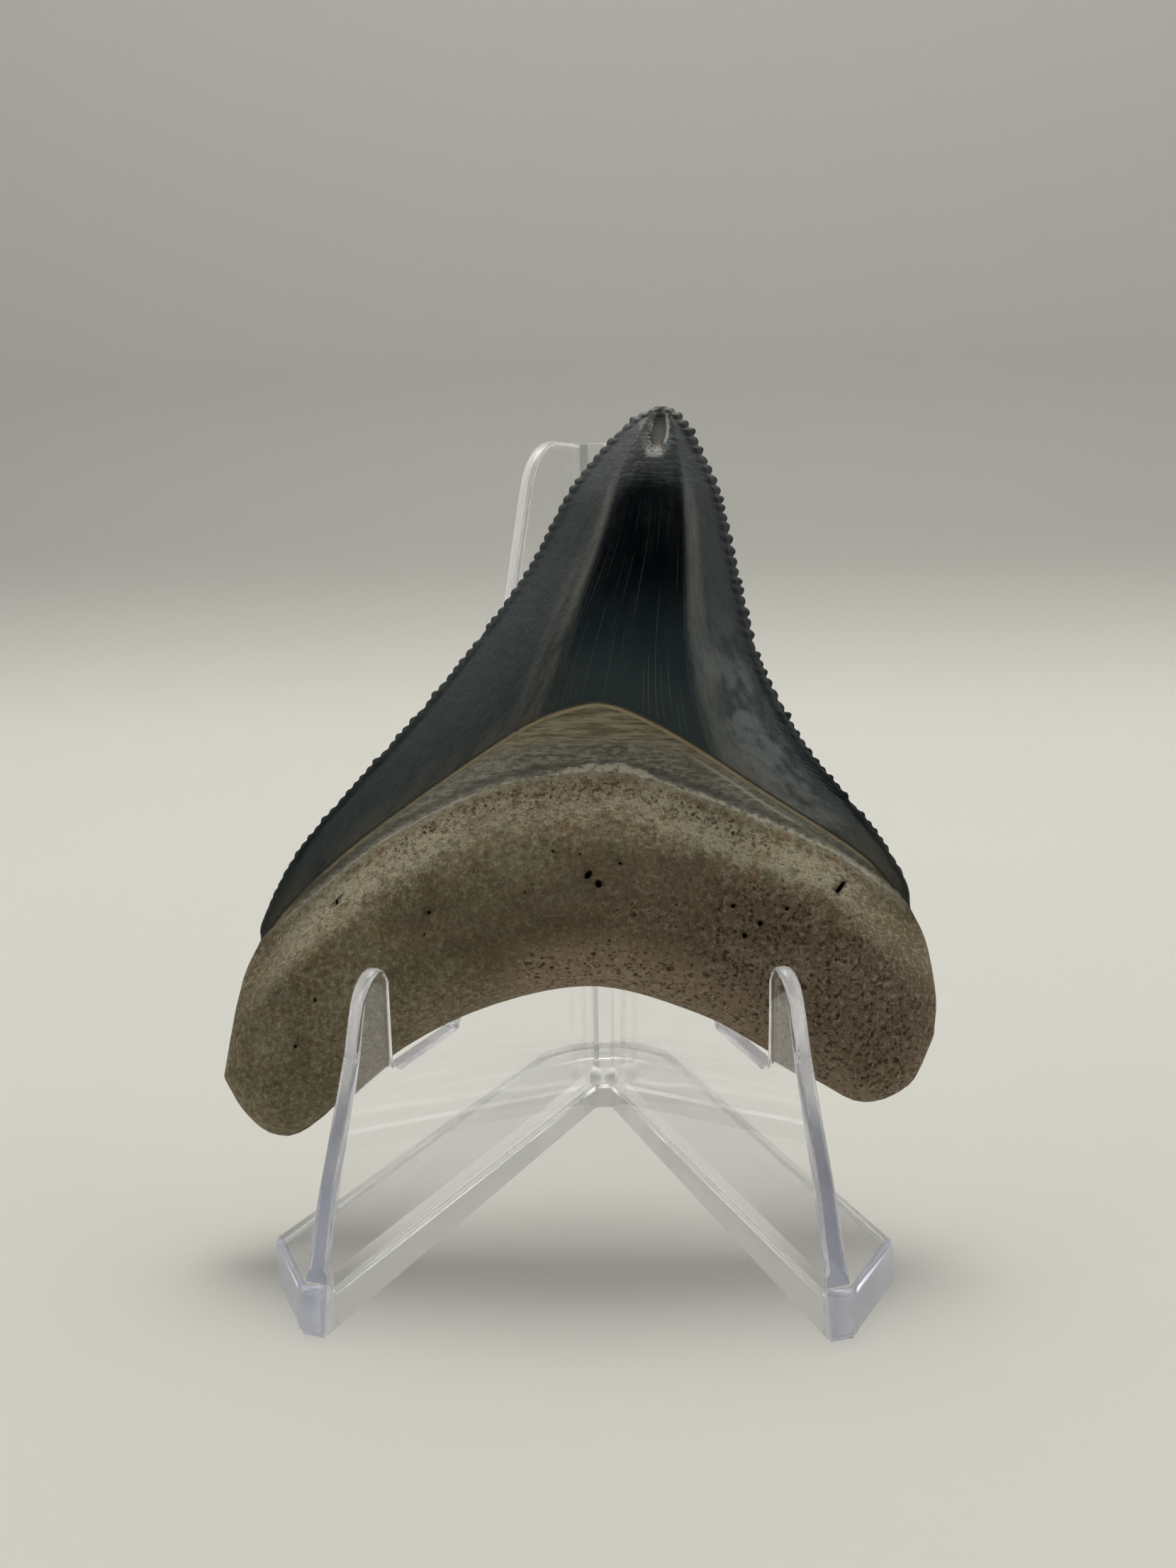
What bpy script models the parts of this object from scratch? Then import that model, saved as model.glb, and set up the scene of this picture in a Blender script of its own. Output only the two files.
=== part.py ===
"""A fossil megalodon tooth resting on a moulded clear plastic display stand.

The tooth is one solid: enamel crown with serrated cutting edges, the band under it, and a two-lobed root.
The stand is one solid: a V-shaped base slab, two upright fins with a seat and a prong each, and the web
that joins the fins at the back.  Lengths are written in millimetres and multiplied by MM where they
become geometry.  The tooth's lingual (bulging) face looks toward -Y.
"""
import math

import bmesh
import bpy
import numpy as np
from mathutils import Matrix, Vector, noise

MM = 0.001

# Stand, seen from above: two legs open toward -Y from an apex at the back.
LEG_ANGLE = math.radians(20.0)      # each leg away from the middle plane
APEX_HALF_GAP = 1.08                # a fin's middle plane from the middle of the stand, at the apex
SLAB_THICK = 4.28
SLAB_INNER = -1.04                  # slab's inner edge, across the leg from the fin's middle plane
SLAB_OUTER = 8.5                    # slab's outer edge, the same way
NOSE_REACH = 60.3                   # front end of the slab, along the leg
INNER_CORNER_REACH = 56.5
OUTER_CORNER_REACH = 52.7
FIN_THICK = 1.7
FIN_REACH = 60.0                    # the fin's front foot
WEB_FRONT = -2.45                   # flat inner face of the web at the apex
WEB_BACK = 0.5
SEAT_Z = 18.9
PRONG_TOP_Z = 28.2
UPRIGHT_TOP_Z = 74.8
UPRIGHT_TOP_REACH = 13.4            # sharp corner before rounding
UPRIGHT_FOOT_REACH = 34.6
CORNER_ROUND = 8.0

# Tooth plane: x to the right, s up the tooth, n out of the lingual face.
LEAN = math.radians(18.5)
SEAT_LINE_Y = -32.5                 # where the uprights' front edges meet the seats
EDGE_PLANE_OFFSET = 4.0             # cutting edges' plane in front of the uprights' front edges
TOOTH_SHIFT_S = 0.0
TOOTH_SHIFT_N = 0.4

# Crown edges from the tip down to where the enamel ends, (x, s).
LEFT_EDGE = [(7.2, 60.0), (4.9, 58.9), (2.6, 56.8), (-1.6, 51.3), (-6.1, 42.7), (-14.3, 31.6),
             (-23.8, 20.6), (-28.0, 15.2), (-30.3, 9.9), (-30.4, 8.0)]
RIGHT_EDGE = [(8.1, 60.0), (9.6, 58.7), (10.8, 56.7), (13.2, 50.9), (14.9, 42.3), (16.9, 33.9),
              (21.1, 25.6), (27.4, 17.4), (29.8, 13.2), (30.1, 10.6)]
# Lower edge of the enamel and upper edge of the root, left to right.
ENAMEL_LINE = [(-30.4, 8.0), (-27.0, 12.0), (-20.9, 17.2), (-11.7, 23.3), (-4.5, 27.4), (0.2, 28.9),
               (2.2, 29.0), (4.5, 28.3), (9.0, 26.0), (16.4, 21.4), (25.2, 16.0), (28.3, 12.9), (30.1, 10.6)]
ROOT_LINE = [(-30.4, 8.0), (-23.8, 13.1), (-17.7, 17.3), (-8.6, 21.2), (0.5, 23.2), (5.9, 22.7),
             (13.5, 19.4), (22.2, 15.9), (28.0, 12.2), (30.1, 10.6)]
# Root outline: the two sides and, between them, the lobes and the arch.
ROOT_LEFT = [(-30.4, 8.0), (-31.9, 4.5), (-32.8, -0.8), (-33.3, -4.6)]
ROOT_RIGHT = [(30.1, 10.6), (31.4, 7.5), (32.1, 2.6), (31.8, -0.9)]
ROOT_BOTTOM = [(-33.3, -4.6), (-31.2, -7.8), (-28.4, -9.8), (-25.1, -9.0), (-17.5, -2.2), (-8.8, 2.4),
               (1.0, 4.2), (10.4, 1.7), (16.4, -1.7), (21.5, -5.2), (25.3, -6.9), (29.4, -5.3),
               (31.8, -0.9)]

# Pores cut into the root's lingual face: (x, s, half width, half length, turn in degrees).
PORES = [(0.9, 12.9, 0.42, 0.50, -20.0), (1.8, 12.1, 0.36, 0.36, 0.0), (23.4, 12.1, 0.34, 1.05, -32.0)]

TIP_S = 60.3
CROWN_SWELL = 7.6                   # lingual bulge of the crown's middle, toward the base
LABIAL_SWELL = 4.8                  # the same on the flatter labial face
ENAMEL_STEP = 0.22                  # the enamel stands this much proud of the band under it
ROOT_SWELL_MIDDLE = 9.3
ROOT_SWELL_LOBE = 5.4
ROOT_LABIAL = 3.6
SERRATION_PITCH = 1.06
SERRATION_DEPTH = 0.42
SERRATION_BAND = 0.55               # how far in from the edge the notches reach

CROWN_ROWS = 38
ROOT_ROWS = 20
COLUMNS = 24


def clear_scene():
    """Start from an empty file."""
    for thing in list(bpy.data.objects):
        bpy.data.objects.remove(thing, do_unlink=True)
    for mesh in list(bpy.data.meshes):
        bpy.data.meshes.remove(mesh)


def new_collection(name):
    """A collection under the scene's own."""
    group = bpy.data.collections.new(name)
    bpy.context.scene.collection.children.link(group)
    return group


def surface(name, colour, roughness, transmission=0.0, ior=1.5):
    """A Principled material."""
    made = bpy.data.materials.new(name)
    made.use_nodes = True
    shader = made.node_tree.nodes["Principled BSDF"]
    shader.inputs["Base Color"].default_value = (*colour, 1.0)
    shader.inputs["Roughness"].default_value = roughness
    shader.inputs["Metallic"].default_value = 0.0
    shader.inputs["Transmission Weight"].default_value = transmission
    shader.inputs["IOR"].default_value = ior
    made.diffuse_color = (*colour, 1.0)
    return made


# ---------------------------------------------------------------- curves in a plane

def smooth_line(points, per_span=12):
    """Catmull-Rom curve through the points, as an array of close-set points."""
    knots = np.array(points, dtype=float)
    before = 2.0 * knots[0] - knots[1]
    after = 2.0 * knots[-1] - knots[-2]
    knots = np.vstack([before, knots, after])
    line = []
    for k in range(1, len(knots) - 2):
        p0, p1, p2, p3 = knots[k - 1:k + 3]
        for step in range(per_span):
            f = step / per_span
            line.append(0.5 * (2.0 * p1 + (p2 - p0) * f
                               + (2.0 * p0 - 5.0 * p1 + 4.0 * p2 - p3) * f * f
                               + (3.0 * p1 - p0 - 3.0 * p2 + p3) * f ** 3))
    line.append(knots[-2])
    return np.array(line)


def along(line, fractions):
    """Points at the given fractions of the line's length."""
    steps = np.hypot(*np.diff(line, axis=0).T)
    length = np.concatenate([[0.0], np.cumsum(steps)])
    want = np.asarray(fractions, dtype=float) * length[-1]
    return np.stack([np.interp(want, length, line[:, 0]), np.interp(want, length, line[:, 1])], axis=-1)


def line_length(line):
    """Length of a polyline."""
    return float(np.hypot(*np.diff(line, axis=0).T).sum())


def height_at(line, x):
    """Height of a left-to-right line at x."""
    return np.interp(x, line[:, 0], line[:, 1])


def distance_to(line, x, s):
    """Distance of each point (x, s) from a polyline."""
    start = line[:-1]
    span = line[1:] - start
    rel_x = x[..., None] - start[:, 0]
    rel_s = s[..., None] - start[:, 1]
    part = (rel_x * span[:, 0] + rel_s * span[:, 1]) / (span ** 2).sum(axis=1)
    part = np.clip(part, 0.0, 1.0)
    return np.sqrt((rel_x - part * span[:, 0]) ** 2 + (rel_s - part * span[:, 1]) ** 2).min(axis=-1)


def ease(value):
    """Smooth step from 0 to 1."""
    value = np.clip(value, 0.0, 1.0)
    return value * value * (3.0 - 2.0 * value)


# ---------------------------------------------------------------- the tooth's two faces

LEFT = smooth_line(LEFT_EDGE)
RIGHT = smooth_line(RIGHT_EDGE)
ENAMEL = smooth_line(ENAMEL_LINE)
ROOT_TOP = smooth_line(ROOT_LINE)
SIDE_LEFT = smooth_line(ROOT_LEFT)
SIDE_RIGHT = smooth_line(ROOT_RIGHT)
BOTTOM = smooth_line(ROOT_BOTTOM)
ROOT_OUTLINE = np.vstack([SIDE_LEFT, BOTTOM[1:], SIDE_RIGHT[::-1][1:]])


def across(x, s):
    """Place between the crown's edges at height s: -1 at the left edge, 1 at the right."""
    left = np.interp(-s, -LEFT[:, 1], LEFT[:, 0])
    right = np.interp(-s, -RIGHT[:, 1], RIGHT[:, 0])
    half = np.maximum(0.5 * (right - left), 0.4)
    return np.clip((x - 0.5 * (right + left)) / half, -1.0, 1.0)


def wander(x, s, size, seed):
    """Slow unevenness of a natural surface, about -1 to 1."""
    out = np.zeros(np.shape(x))
    for place in np.ndindex(np.shape(x)):
        out[place] = noise.noise(Vector((x[place] / size, s[place] / size, seed)))
    return out


def crown_lingual(x, s):
    """Height of the crown's bulging face above the plane of its edges."""
    t = across(x, s)
    swell = CROWN_SWELL * (1.0 - np.exp(-np.maximum(TIP_S - s, 0.0) / 18.0)) ** 0.9
    return swell * (0.55 * (1.0 - t ** 2) + 0.45 * np.cos(0.5 * math.pi * t) ** 2)


def crown_labial(x, s):
    """Depth of the crown's flatter face below the plane of its edges."""
    t = across(x, s)
    swell = LABIAL_SWELL * (1.0 - np.exp(-np.maximum(TIP_S - s, 0.0) / 16.0)) ** 0.9
    return swell * (1.0 - np.abs(t) ** 2.2)


def lingual_face(x, s):
    """Height of the whole lingual face: crown, band under the enamel and swollen root."""
    crown = crown_lingual(x, s)
    below_enamel = height_at(ENAMEL, x) - s
    below_root = height_at(ROOT_TOP, x) - s
    near = distance_to(ROOT_OUTLINE, x, s)
    rounding = np.sqrt(1.0 - (1.0 - np.clip(near / 6.5, 0.0, 1.0)) ** 2)
    swell = ROOT_SWELL_LOBE + (ROOT_SWELL_MIDDLE - ROOT_SWELL_LOBE) * np.exp(-(x / 13.0) ** 2)
    root = swell * rounding
    blend = ease(below_root / 7.0)
    height = crown * (1.0 - blend) + root * blend
    height = height - ENAMEL_STEP * ease(below_enamel / 0.25) * np.clip(near / 2.0, 0.0, 1.0)
    # Worn facet near the tip, a shallow long hollow.
    facet = ((x - 7.2) / 1.3) ** 2 + ((s - 57.1) / 2.5) ** 2
    height = height - 0.45 * np.exp(-facet ** 2)
    uneven = ease(below_root / 3.0) * np.clip(near / 3.0, 0.0, 1.0)
    height = height + uneven * (0.28 * wander(x, s, 7.0, 1.3) + 0.12 * wander(x, s, 2.7, 4.1))
    return np.maximum(height, 0.0)


def labial_face(x, s):
    """Depth of the flatter face.  Its enamel reaches lower down than on the lingual face."""
    crown = crown_labial(x, s)
    edge = 0.5 * (height_at(ROOT_TOP, x) + height_at(ENAMEL, x)) - 7.0 * np.exp(-(x / 17.0) ** 2)
    near = distance_to(ROOT_OUTLINE, x, s)
    rounding = np.sqrt(1.0 - (1.0 - np.clip(near / 4.2, 0.0, 1.0)) ** 2)
    root = (ROOT_LABIAL - 0.5 * np.exp(-(x / 9.0) ** 2)) * rounding
    blend = ease((edge - s) / 5.0)
    depth = crown * (1.0 - blend) + root * blend
    uneven = ease((edge - s) / 3.0) * np.clip(near / 3.0, 0.0, 1.0)
    depth = depth + uneven * 0.15 * wander(x, s, 6.0, 8.7)
    return np.maximum(depth, 0.0)


# ---------------------------------------------------------------- the tooth's rows of points

def crown_row(fraction, places):
    """Points across the crown: a low arch near the tip, the enamel's own edge at the base."""
    left = along(LEFT, [fraction])[0]
    right = along(RIGHT, [fraction])[0]
    enamel = along_x(ENAMEL, places)
    chord = ENAMEL[0][1] + (ENAMEL[-1][1] - ENAMEL[0][1]) * places
    arch = (enamel - chord) * fraction ** 1.8
    x = left[0] + (right[0] - left[0]) * places
    s = left[1] + (right[1] - left[1]) * places + arch
    return np.stack([x, s], axis=-1)


def along_x(line, places):
    """Heights of a left-to-right line at even places across it."""
    return height_at(line, line[0][0] + (line[-1][0] - line[0][0]) * places)


def root_row(fraction, places):
    """Points across the root, from the enamel's edge (0) to the outline of lobes and arch (1)."""
    top = crown_row(1.0, places)
    bottom = along(BOTTOM, places)
    row = top * (1.0 - fraction) + bottom * fraction
    left = along(SIDE_LEFT, [fraction])[0] - row[0]
    right = along(SIDE_RIGHT, [fraction])[0] - row[-1]
    fade = places[:, None]
    return row + left * (1.0 - fade) ** 3 + right * fade ** 3


def edge_points(line):
    """One cutting edge: where the points lie along it, and how far each stands out, four to a serration."""
    notches = int(round(line_length(line) / SERRATION_PITCH))
    count = notches * 4
    fractions = np.arange(count + 1) / count
    out = np.choose(np.arange(count + 1) % 4, [-0.62, 0.26, 0.42, 0.26])
    fade = ease(fractions / 0.04) * (1.0 - ease((fractions - 0.86) / 0.13))
    return fractions, out * SERRATION_DEPTH * fade


def outward(line, fractions, side):
    """Unit directions out of the tooth along an edge."""
    ahead = along(line, np.clip(fractions + 0.01, 0.0, 1.0))
    behind = along(line, np.clip(fractions - 0.01, 0.0, 1.0))
    way = ahead - behind
    way = way / np.hypot(way[:, 0], way[:, 1])[:, None]
    return np.stack([-way[:, 1] * side, way[:, 0] * side], axis=-1)


def zip_strip(build, first, first_at, second, second_at, flip):
    """Triangles between two lines of vertices that run the same way with unlike spacing."""
    i = 0
    j = 0
    while i < len(first) - 1 or j < len(second) - 1:
        step_first = j == len(second) - 1
        if i < len(first) - 1 and j < len(second) - 1:
            step_first = first_at[i + 1] <= second_at[j + 1]
        if step_first:
            corners = [first[i], first[i + 1], second[j]]
            i += 1
        else:
            corners = [first[i], second[j + 1], second[j]]
            j += 1
        if flip:
            corners.reverse()
        build.faces.new(corners)


def tooth_mesh():
    """Both faces over the same outline, sharing the cutting edges and the outline of the root."""
    build = bmesh.new()

    def add(x, s, n):
        return build.verts.new((x, s, n))

    places = 0.5 - 0.5 * np.cos(math.pi * np.arange(COLUMNS + 1) / COLUMNS)
    places = 0.55 * places + 0.45 * np.arange(COLUMNS + 1) / COLUMNS
    # Rows run from just under the tip to the enamel's edge, then down the root.
    crown_at = (np.arange(1, CROWN_ROWS + 1) / CROWN_ROWS) ** 1.12
    rows = [crown_row(fraction, places) for fraction in crown_at]
    step_row = root_row(0.012, places)
    root_at = np.sin(0.5 * math.pi * np.arange(1, ROOT_ROWS) / ROOT_ROWS)
    rows = rows + [step_row] + [root_row(0.02 + 0.98 * f, places) for f in root_at[1:]]
    grid = np.array(rows)
    front_n = lingual_face(grid[..., 0], grid[..., 1])
    back_n = labial_face(grid[..., 0], grid[..., 1])
    inner = slice(1, COLUMNS)
    front = [[add(x, s, n) for (x, s), n in zip(grid[r][inner], front_n[r][inner])] for r in range(len(rows))]
    back = [[add(x, s, -n) for (x, s), n in zip(grid[r][inner], back_n[r][inner])] for r in range(len(rows))]

    # Sides of the root and its lower outline, shared by both faces.
    enamel_row = CROWN_ROWS - 1
    left_side = [add(*grid[r][0], 0.0) for r in range(enamel_row + 1, len(rows))]
    right_side = [add(*grid[r][-1], 0.0) for r in range(enamel_row + 1, len(rows))]
    last = root_row(1.0, places)
    bottom = [add(x, s, 0.0) for x, s in last]
    left_side.append(bottom[0])
    right_side.append(bottom[-1])

    # Cutting edges: a fine line on the edge itself and one on each face at the notches' inner end.
    sides = []
    for line, side in ((LEFT, -1), (RIGHT, 1)):
        at, stand_out = edge_points(line)
        way = outward(line, at, side)
        place = along(line, at)
        edge = [add(*(place[k] + way[k] * stand_out[k]), 0.0) for k in range(len(at))]
        inset = np.minimum(SERRATION_BAND, 0.25 + 40.0 * np.minimum(at, 1.0 - at))
        inner_place = place - way * inset[:, None]
        high = lingual_face(inner_place[:, 0], inner_place[:, 1]) + 0.10 + 0.12 * stand_out
        low = labial_face(inner_place[:, 0], inner_place[:, 1]) + 0.08 + 0.12 * stand_out
        face = [add(*inner_place[k], high[k]) for k in range(len(at))]
        rear = [add(*inner_place[k], -low[k]) for k in range(len(at))]
        sides.append((at, edge, face, rear))

    # Faces.  Front corners are ordered for +n outward.
    for face_rows, up in ((front, True), (back, False)):
        for r in range(len(rows) - 1):
            for c in range(COLUMNS - 2):
                quad = [face_rows[r][c], face_rows[r + 1][c], face_rows[r + 1][c + 1], face_rows[r][c + 1]]
                if not up:
                    quad.reverse()
                build.faces.new(quad)
    for k, (at, edge, face, rear) in enumerate(sides):
        left = k == 0
        column = 0 if left else -1
        for strip, face_rows, up in ((face, front, True), (rear, back, False)):
            flip = left != up
            zip_strip(build, edge, at, strip, at, flip)
            middle = [face_rows[r][column] for r in range(enamel_row + 1)]
            zip_strip(build, strip, at, middle, crown_at, flip)
    # Tip: both edges start beside each other.
    (_, left_edge, left_face, left_rear), (_, right_edge, right_face, right_rear) = sides
    build.faces.new([left_edge[0], left_face[0], right_face[0], right_edge[0]])
    build.faces.new([right_edge[0], right_rear[0], left_rear[0], left_edge[0]])
    build.faces.new([left_face[0]] + front[0] + [right_face[0]])
    build.faces.new(list(reversed([left_rear[0]] + back[0] + [right_rear[0]])))
    # Where the enamel ends, the edge strips close onto the first point of the root's side.
    for k, (at, edge, face, rear) in enumerate(sides):
        left = k == 0
        column = 0 if left else -1
        side = left_side if left else right_side
        for strip, face_rows, up in ((face, front, True), (rear, back, False)):
            corners = [edge[-1], side[0], face_rows[enamel_row + 1][column], face_rows[enamel_row][column],
                       strip[-1]]
            if left != up:
                corners.reverse()
            build.faces.new(corners)
            for r in range(enamel_row + 1, len(rows) - 1):
                quad = [side[r - enamel_row - 1], side[r - enamel_row], face_rows[r + 1][column],
                        face_rows[r][column]]
                if left != up:
                    quad.reverse()
                build.faces.new(quad)
    # Lower outline.
    for face_rows, up in ((front, True), (back, False)):
        line = [left_side[-2]] + face_rows[-1] + [right_side[-2]]
        for c in range(COLUMNS):
            quad = [line[c], bottom[c], bottom[c + 1], line[c + 1]]
            if not up:
                quad.reverse()
            build.faces.new(quad)
    bmesh.ops.triangulate(build, faces=build.faces[:], quad_method="SHORT_EDGE")
    bmesh.ops.recalc_face_normals(build, faces=build.faces[:])
    return build


def tooth_placement():
    """Tooth plane to stand frame: the tooth leans back against the uprights, its arch on the seats."""
    up = Vector((0.0, math.sin(LEAN), math.cos(LEAN)))
    out = Vector((0.0, -math.cos(LEAN), math.sin(LEAN)))
    start = Vector((0.0, SEAT_LINE_Y, SEAT_Z)) + out * (EDGE_PLANE_OFFSET + TOOTH_SHIFT_N) + up * TOOTH_SHIFT_S
    turn = Matrix(((1.0, up.x, out.x), (0.0, up.y, out.y), (0.0, up.z, out.z)))
    return Matrix.Translation(start * MM) @ turn.to_4x4() @ Matrix.Scale(MM, 4)


def cut_pores(tooth, cutters):
    """The nutrient pores at the middle of the root and the slit near its right end."""
    for number, (x, s, half_wide, half_long, turn) in enumerate(PORES):
        high = float(lingual_face(np.array([x]), np.array([s]))[0])
        bpy.ops.mesh.primitive_uv_sphere_add(segments=10, ring_count=6, radius=1.0)
        pore = bpy.context.object
        pore.name = "pore_%d" % number
        shape = Matrix.Diagonal((half_wide, half_long, 0.75, 1.0))
        spin = Matrix.Rotation(math.radians(turn), 4, "Z")
        pore.data.transform(tooth_placement() @ Matrix.Translation((x, s, high)) @ spin @ shape)
        for holder in pore.users_collection:
            holder.objects.unlink(pore)
        cutters.objects.link(pore)
        pore.hide_render = True
        pore.display_type = "WIRE"
        cut = tooth.modifiers.new(pore.name, "BOOLEAN")
        cut.operation = "DIFFERENCE"
        cut.solver = "EXACT"
        cut.object = pore
    bpy.context.view_layer.update()
    shape = bpy.data.meshes.new_from_object(tooth.evaluated_get(bpy.context.evaluated_depsgraph_get()))
    tooth.modifiers.clear()
    tooth.data = shape


def build_tooth(group, cutters):
    """The fossil tooth, one closed solid."""
    build = tooth_mesh()
    bmesh.ops.transform(build, matrix=tooth_placement(), verts=build.verts[:])
    mesh = bpy.data.meshes.new("tooth")
    build.to_mesh(mesh)
    build.free()
    for face in mesh.polygons:
        face.use_smooth = True
    tooth = bpy.data.objects.new("tooth", mesh)
    mesh.materials.append(surface("fossil", (0.16, 0.13, 0.10), 0.55))
    group.objects.link(tooth)
    cut_pores(tooth, cutters)
    return tooth


# ---------------------------------------------------------------- the stand

def arc(centre, radius, start, end, steps):
    """Points on an arc, angles in degrees."""
    points = []
    for k in range(steps + 1):
        angle = math.radians(start + (end - start) * k / steps)
        points.append((centre[0] + radius * math.cos(angle), centre[1] + radius * math.sin(angle)))
    return points


def round_corner(before, corner, after, radius, steps=5):
    """Points that replace a corner with a round of the radius."""
    corner = Vector(corner)
    one = (Vector(before) - corner).normalized()
    two = (Vector(after) - corner).normalized()
    half = 0.5 * one.angle(two)
    reach = radius / math.tan(half)
    centre = corner + (one + two).normalized() * (radius / math.sin(half))
    first = corner + one * reach - centre
    last = corner + two * reach - centre
    turn = first.angle_signed(last)
    points = []
    for k in range(steps + 1):
        angle = -turn * k / steps
        spin = Vector((first.x * math.cos(angle) - first.y * math.sin(angle),
                       first.x * math.sin(angle) + first.y * math.cos(angle)))
        points.append(tuple(centre + spin))
    return points


def plate(name, outline, thick, group):
    """A flat plate: the outline filled and given its thickness, standing on its middle plane."""
    curve = bpy.data.curves.new(name, "CURVE")
    curve.dimensions = "2D"
    curve.fill_mode = "BOTH"
    curve.extrude = 0.5 * thick * MM
    spline = curve.splines.new("POLY")
    spline.points.add(len(outline) - 1)
    for point, (u, v) in zip(spline.points, outline):
        point.co = (u * MM, v * MM, 0.0, 1.0)
    spline.use_cyclic_u = True
    holder = bpy.data.objects.new(name, curve)
    group.objects.link(holder)
    bpy.context.view_layer.update()
    mesh = bpy.data.meshes.new_from_object(holder)
    bpy.data.objects.remove(holder, do_unlink=True)
    build = bmesh.new()
    build.from_mesh(mesh)
    bmesh.ops.remove_doubles(build, verts=build.verts[:], dist=1e-6)
    bmesh.ops.dissolve_limit(build, angle_limit=math.radians(0.5), verts=build.verts[:], edges=build.edges[:])
    bmesh.ops.recalc_face_normals(build, faces=build.faces[:])
    build.to_mesh(mesh)
    build.free()
    made = bpy.data.objects.new(name, mesh)
    group.objects.link(made)
    return made


def fin_outline():
    """Side view of a fin, (reach along the leg, height): foot, prong, seat, upright."""
    top = UPRIGHT_TOP_Z
    front = [(FIN_REACH, 0.0), (FIN_REACH - 0.9, 4.9), (FIN_REACH - 2.75, 11.0), (FIN_REACH - 4.55, 15.2),
             (FIN_REACH - 6.1, 18.6), (FIN_REACH - 7.4, 21.8)]
    cap = [(51.7, 25.0), (51.1, 26.5), (50.1, 27.7), (48.9, PRONG_TOP_Z), (47.7, 28.0), (46.8, 27.0), (46.6, 25.8)]
    inner = round_corner((46.7, 26.0), (46.7, SEAT_Z - 0.3), (36.0, SEAT_Z + 0.2), 1.2, 4)
    rear = round_corner((46.0, SEAT_Z - 0.3), (34.7, SEAT_Z + 0.25), (UPRIGHT_TOP_REACH, top), 1.0, 3)
    corner = round_corner((34.7, SEAT_Z), (UPRIGHT_TOP_REACH, top), (0.0, top), CORNER_ROUND, 6)
    back = [(0.3, top), (0.3, 0.0)]
    return front + cap + inner + rear + corner + back


def slab_outline():
    """Base slab from above: a V with a round back, blunt front corners and a small flat inside the apex."""
    s, c = math.sin(LEG_ANGLE), math.cos(LEG_ANGLE)

    def leg(reach, beside):
        return (APEX_HALF_GAP + reach * s + beside * c, -reach * c + beside * s)

    nose = [(59.2, -1.04), (60.0, -0.75), (NOSE_REACH, -0.1), (NOSE_REACH, 0.9), (59.9, 1.5), (59.3, 2.0)]
    right = [(-WEB_FRONT - 0.36) / c]
    points = [leg(right[0], SLAB_INNER), leg(INNER_CORNER_REACH, SLAB_INNER)]
    points += [leg(*place) for place in nose]
    points += [leg(OUTER_CORNER_REACH + 0.5, SLAB_OUTER - 0.6), leg(OUTER_CORNER_REACH - 0.4, SLAB_OUTER)]
    radius = SLAB_OUTER + APEX_HALF_GAP * c
    rear = arc((0.0, 0.0), radius, 20.0, 90.0, 10)
    points += rear
    mirrored = [(-x, y) for x, y in reversed(points[:-1])]
    return points + mirrored


def join_solids(target, others):
    """Boolean union of plates that cross each other."""
    for other in others:
        tool = target.modifiers.new("join_" + other.name, "BOOLEAN")
        tool.operation = "UNION"
        tool.solver = "EXACT"
        tool.object = other
        bpy.context.view_layer.update()
        shape = bpy.data.meshes.new_from_object(target.evaluated_get(bpy.context.evaluated_depsgraph_get()))
        target.modifiers.clear()
        old = target.data
        target.data = shape
        bpy.data.meshes.remove(old)
        bpy.data.objects.remove(other, do_unlink=True)


def set_plate(thing, matrix):
    """Bake a placement into the mesh."""
    thing.data.transform(matrix)
    if matrix.determinant() < 0.0:
        thing.data.flip_normals()
    thing.data.update()


def build_stand(group):
    """The clear easel: slab, two fins and the web at the back, joined into one moulding."""
    slab = plate("display_stand", slab_outline(), SLAB_THICK, group)
    set_plate(slab, Matrix.Translation((0.0, 0.0, 0.5 * SLAB_THICK * MM)))
    pieces = []
    for side in (-1.0, 1.0):
        fin = plate("fin", fin_outline(), FIN_THICK, group)
        leg = Vector((side * math.sin(LEG_ANGLE), -math.cos(LEG_ANGLE), 0.0))
        out = Vector((side * math.cos(LEG_ANGLE), math.sin(LEG_ANGLE), 0.0))
        place = Matrix(((leg.x, 0.0, out.x, side * APEX_HALF_GAP * MM),
                        (leg.y, 0.0, out.y, 0.0),
                        (0.0, 1.0, 0.0, 0.0),
                        (0.0, 0.0, 0.0, 1.0)))
        set_plate(fin, place)
        pieces.append(fin)
    bpy.ops.mesh.primitive_cube_add(size=1.0)
    web = bpy.context.object
    web.name = "web"
    deep = WEB_BACK - WEB_FRONT
    place = Matrix.Translation((0.0, 0.5 * (WEB_BACK + WEB_FRONT) * MM, 0.5 * UPRIGHT_TOP_Z * MM))
    web.data.transform(place @ Matrix.Diagonal((3.4 * MM, deep * MM, UPRIGHT_TOP_Z * MM, 1.0)))
    pieces.append(web)
    join_solids(slab, pieces)
    build = bmesh.new()
    build.from_mesh(slab.data)
    bmesh.ops.remove_doubles(build, verts=build.verts[:], dist=2e-6)
    bmesh.ops.dissolve_limit(build, angle_limit=math.radians(0.3), verts=build.verts[:], edges=build.edges[:])
    build.to_mesh(slab.data)
    build.free()
    slab.data.materials.clear()
    slab.data.materials.append(surface("clear_plastic", (0.86, 0.87, 0.95), 0.05, 0.9, 1.5))
    return slab


def stand_on_origin(things, helpers):
    """Move everything so that the middle of the whole object's footprint is the origin."""
    spots = [thing.matrix_world @ vertex.co for thing in things for vertex in thing.data.vertices]
    low = Vector([min(spot[k] for spot in spots) for k in range(3)])
    high = Vector([max(spot[k] for spot in spots) for k in range(3)])
    middle = Vector((0.5 * (low.x + high.x), 0.5 * (low.y + high.y), low.z))
    for thing in things + helpers:
        thing.data.transform(Matrix.Translation(-middle))


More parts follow.
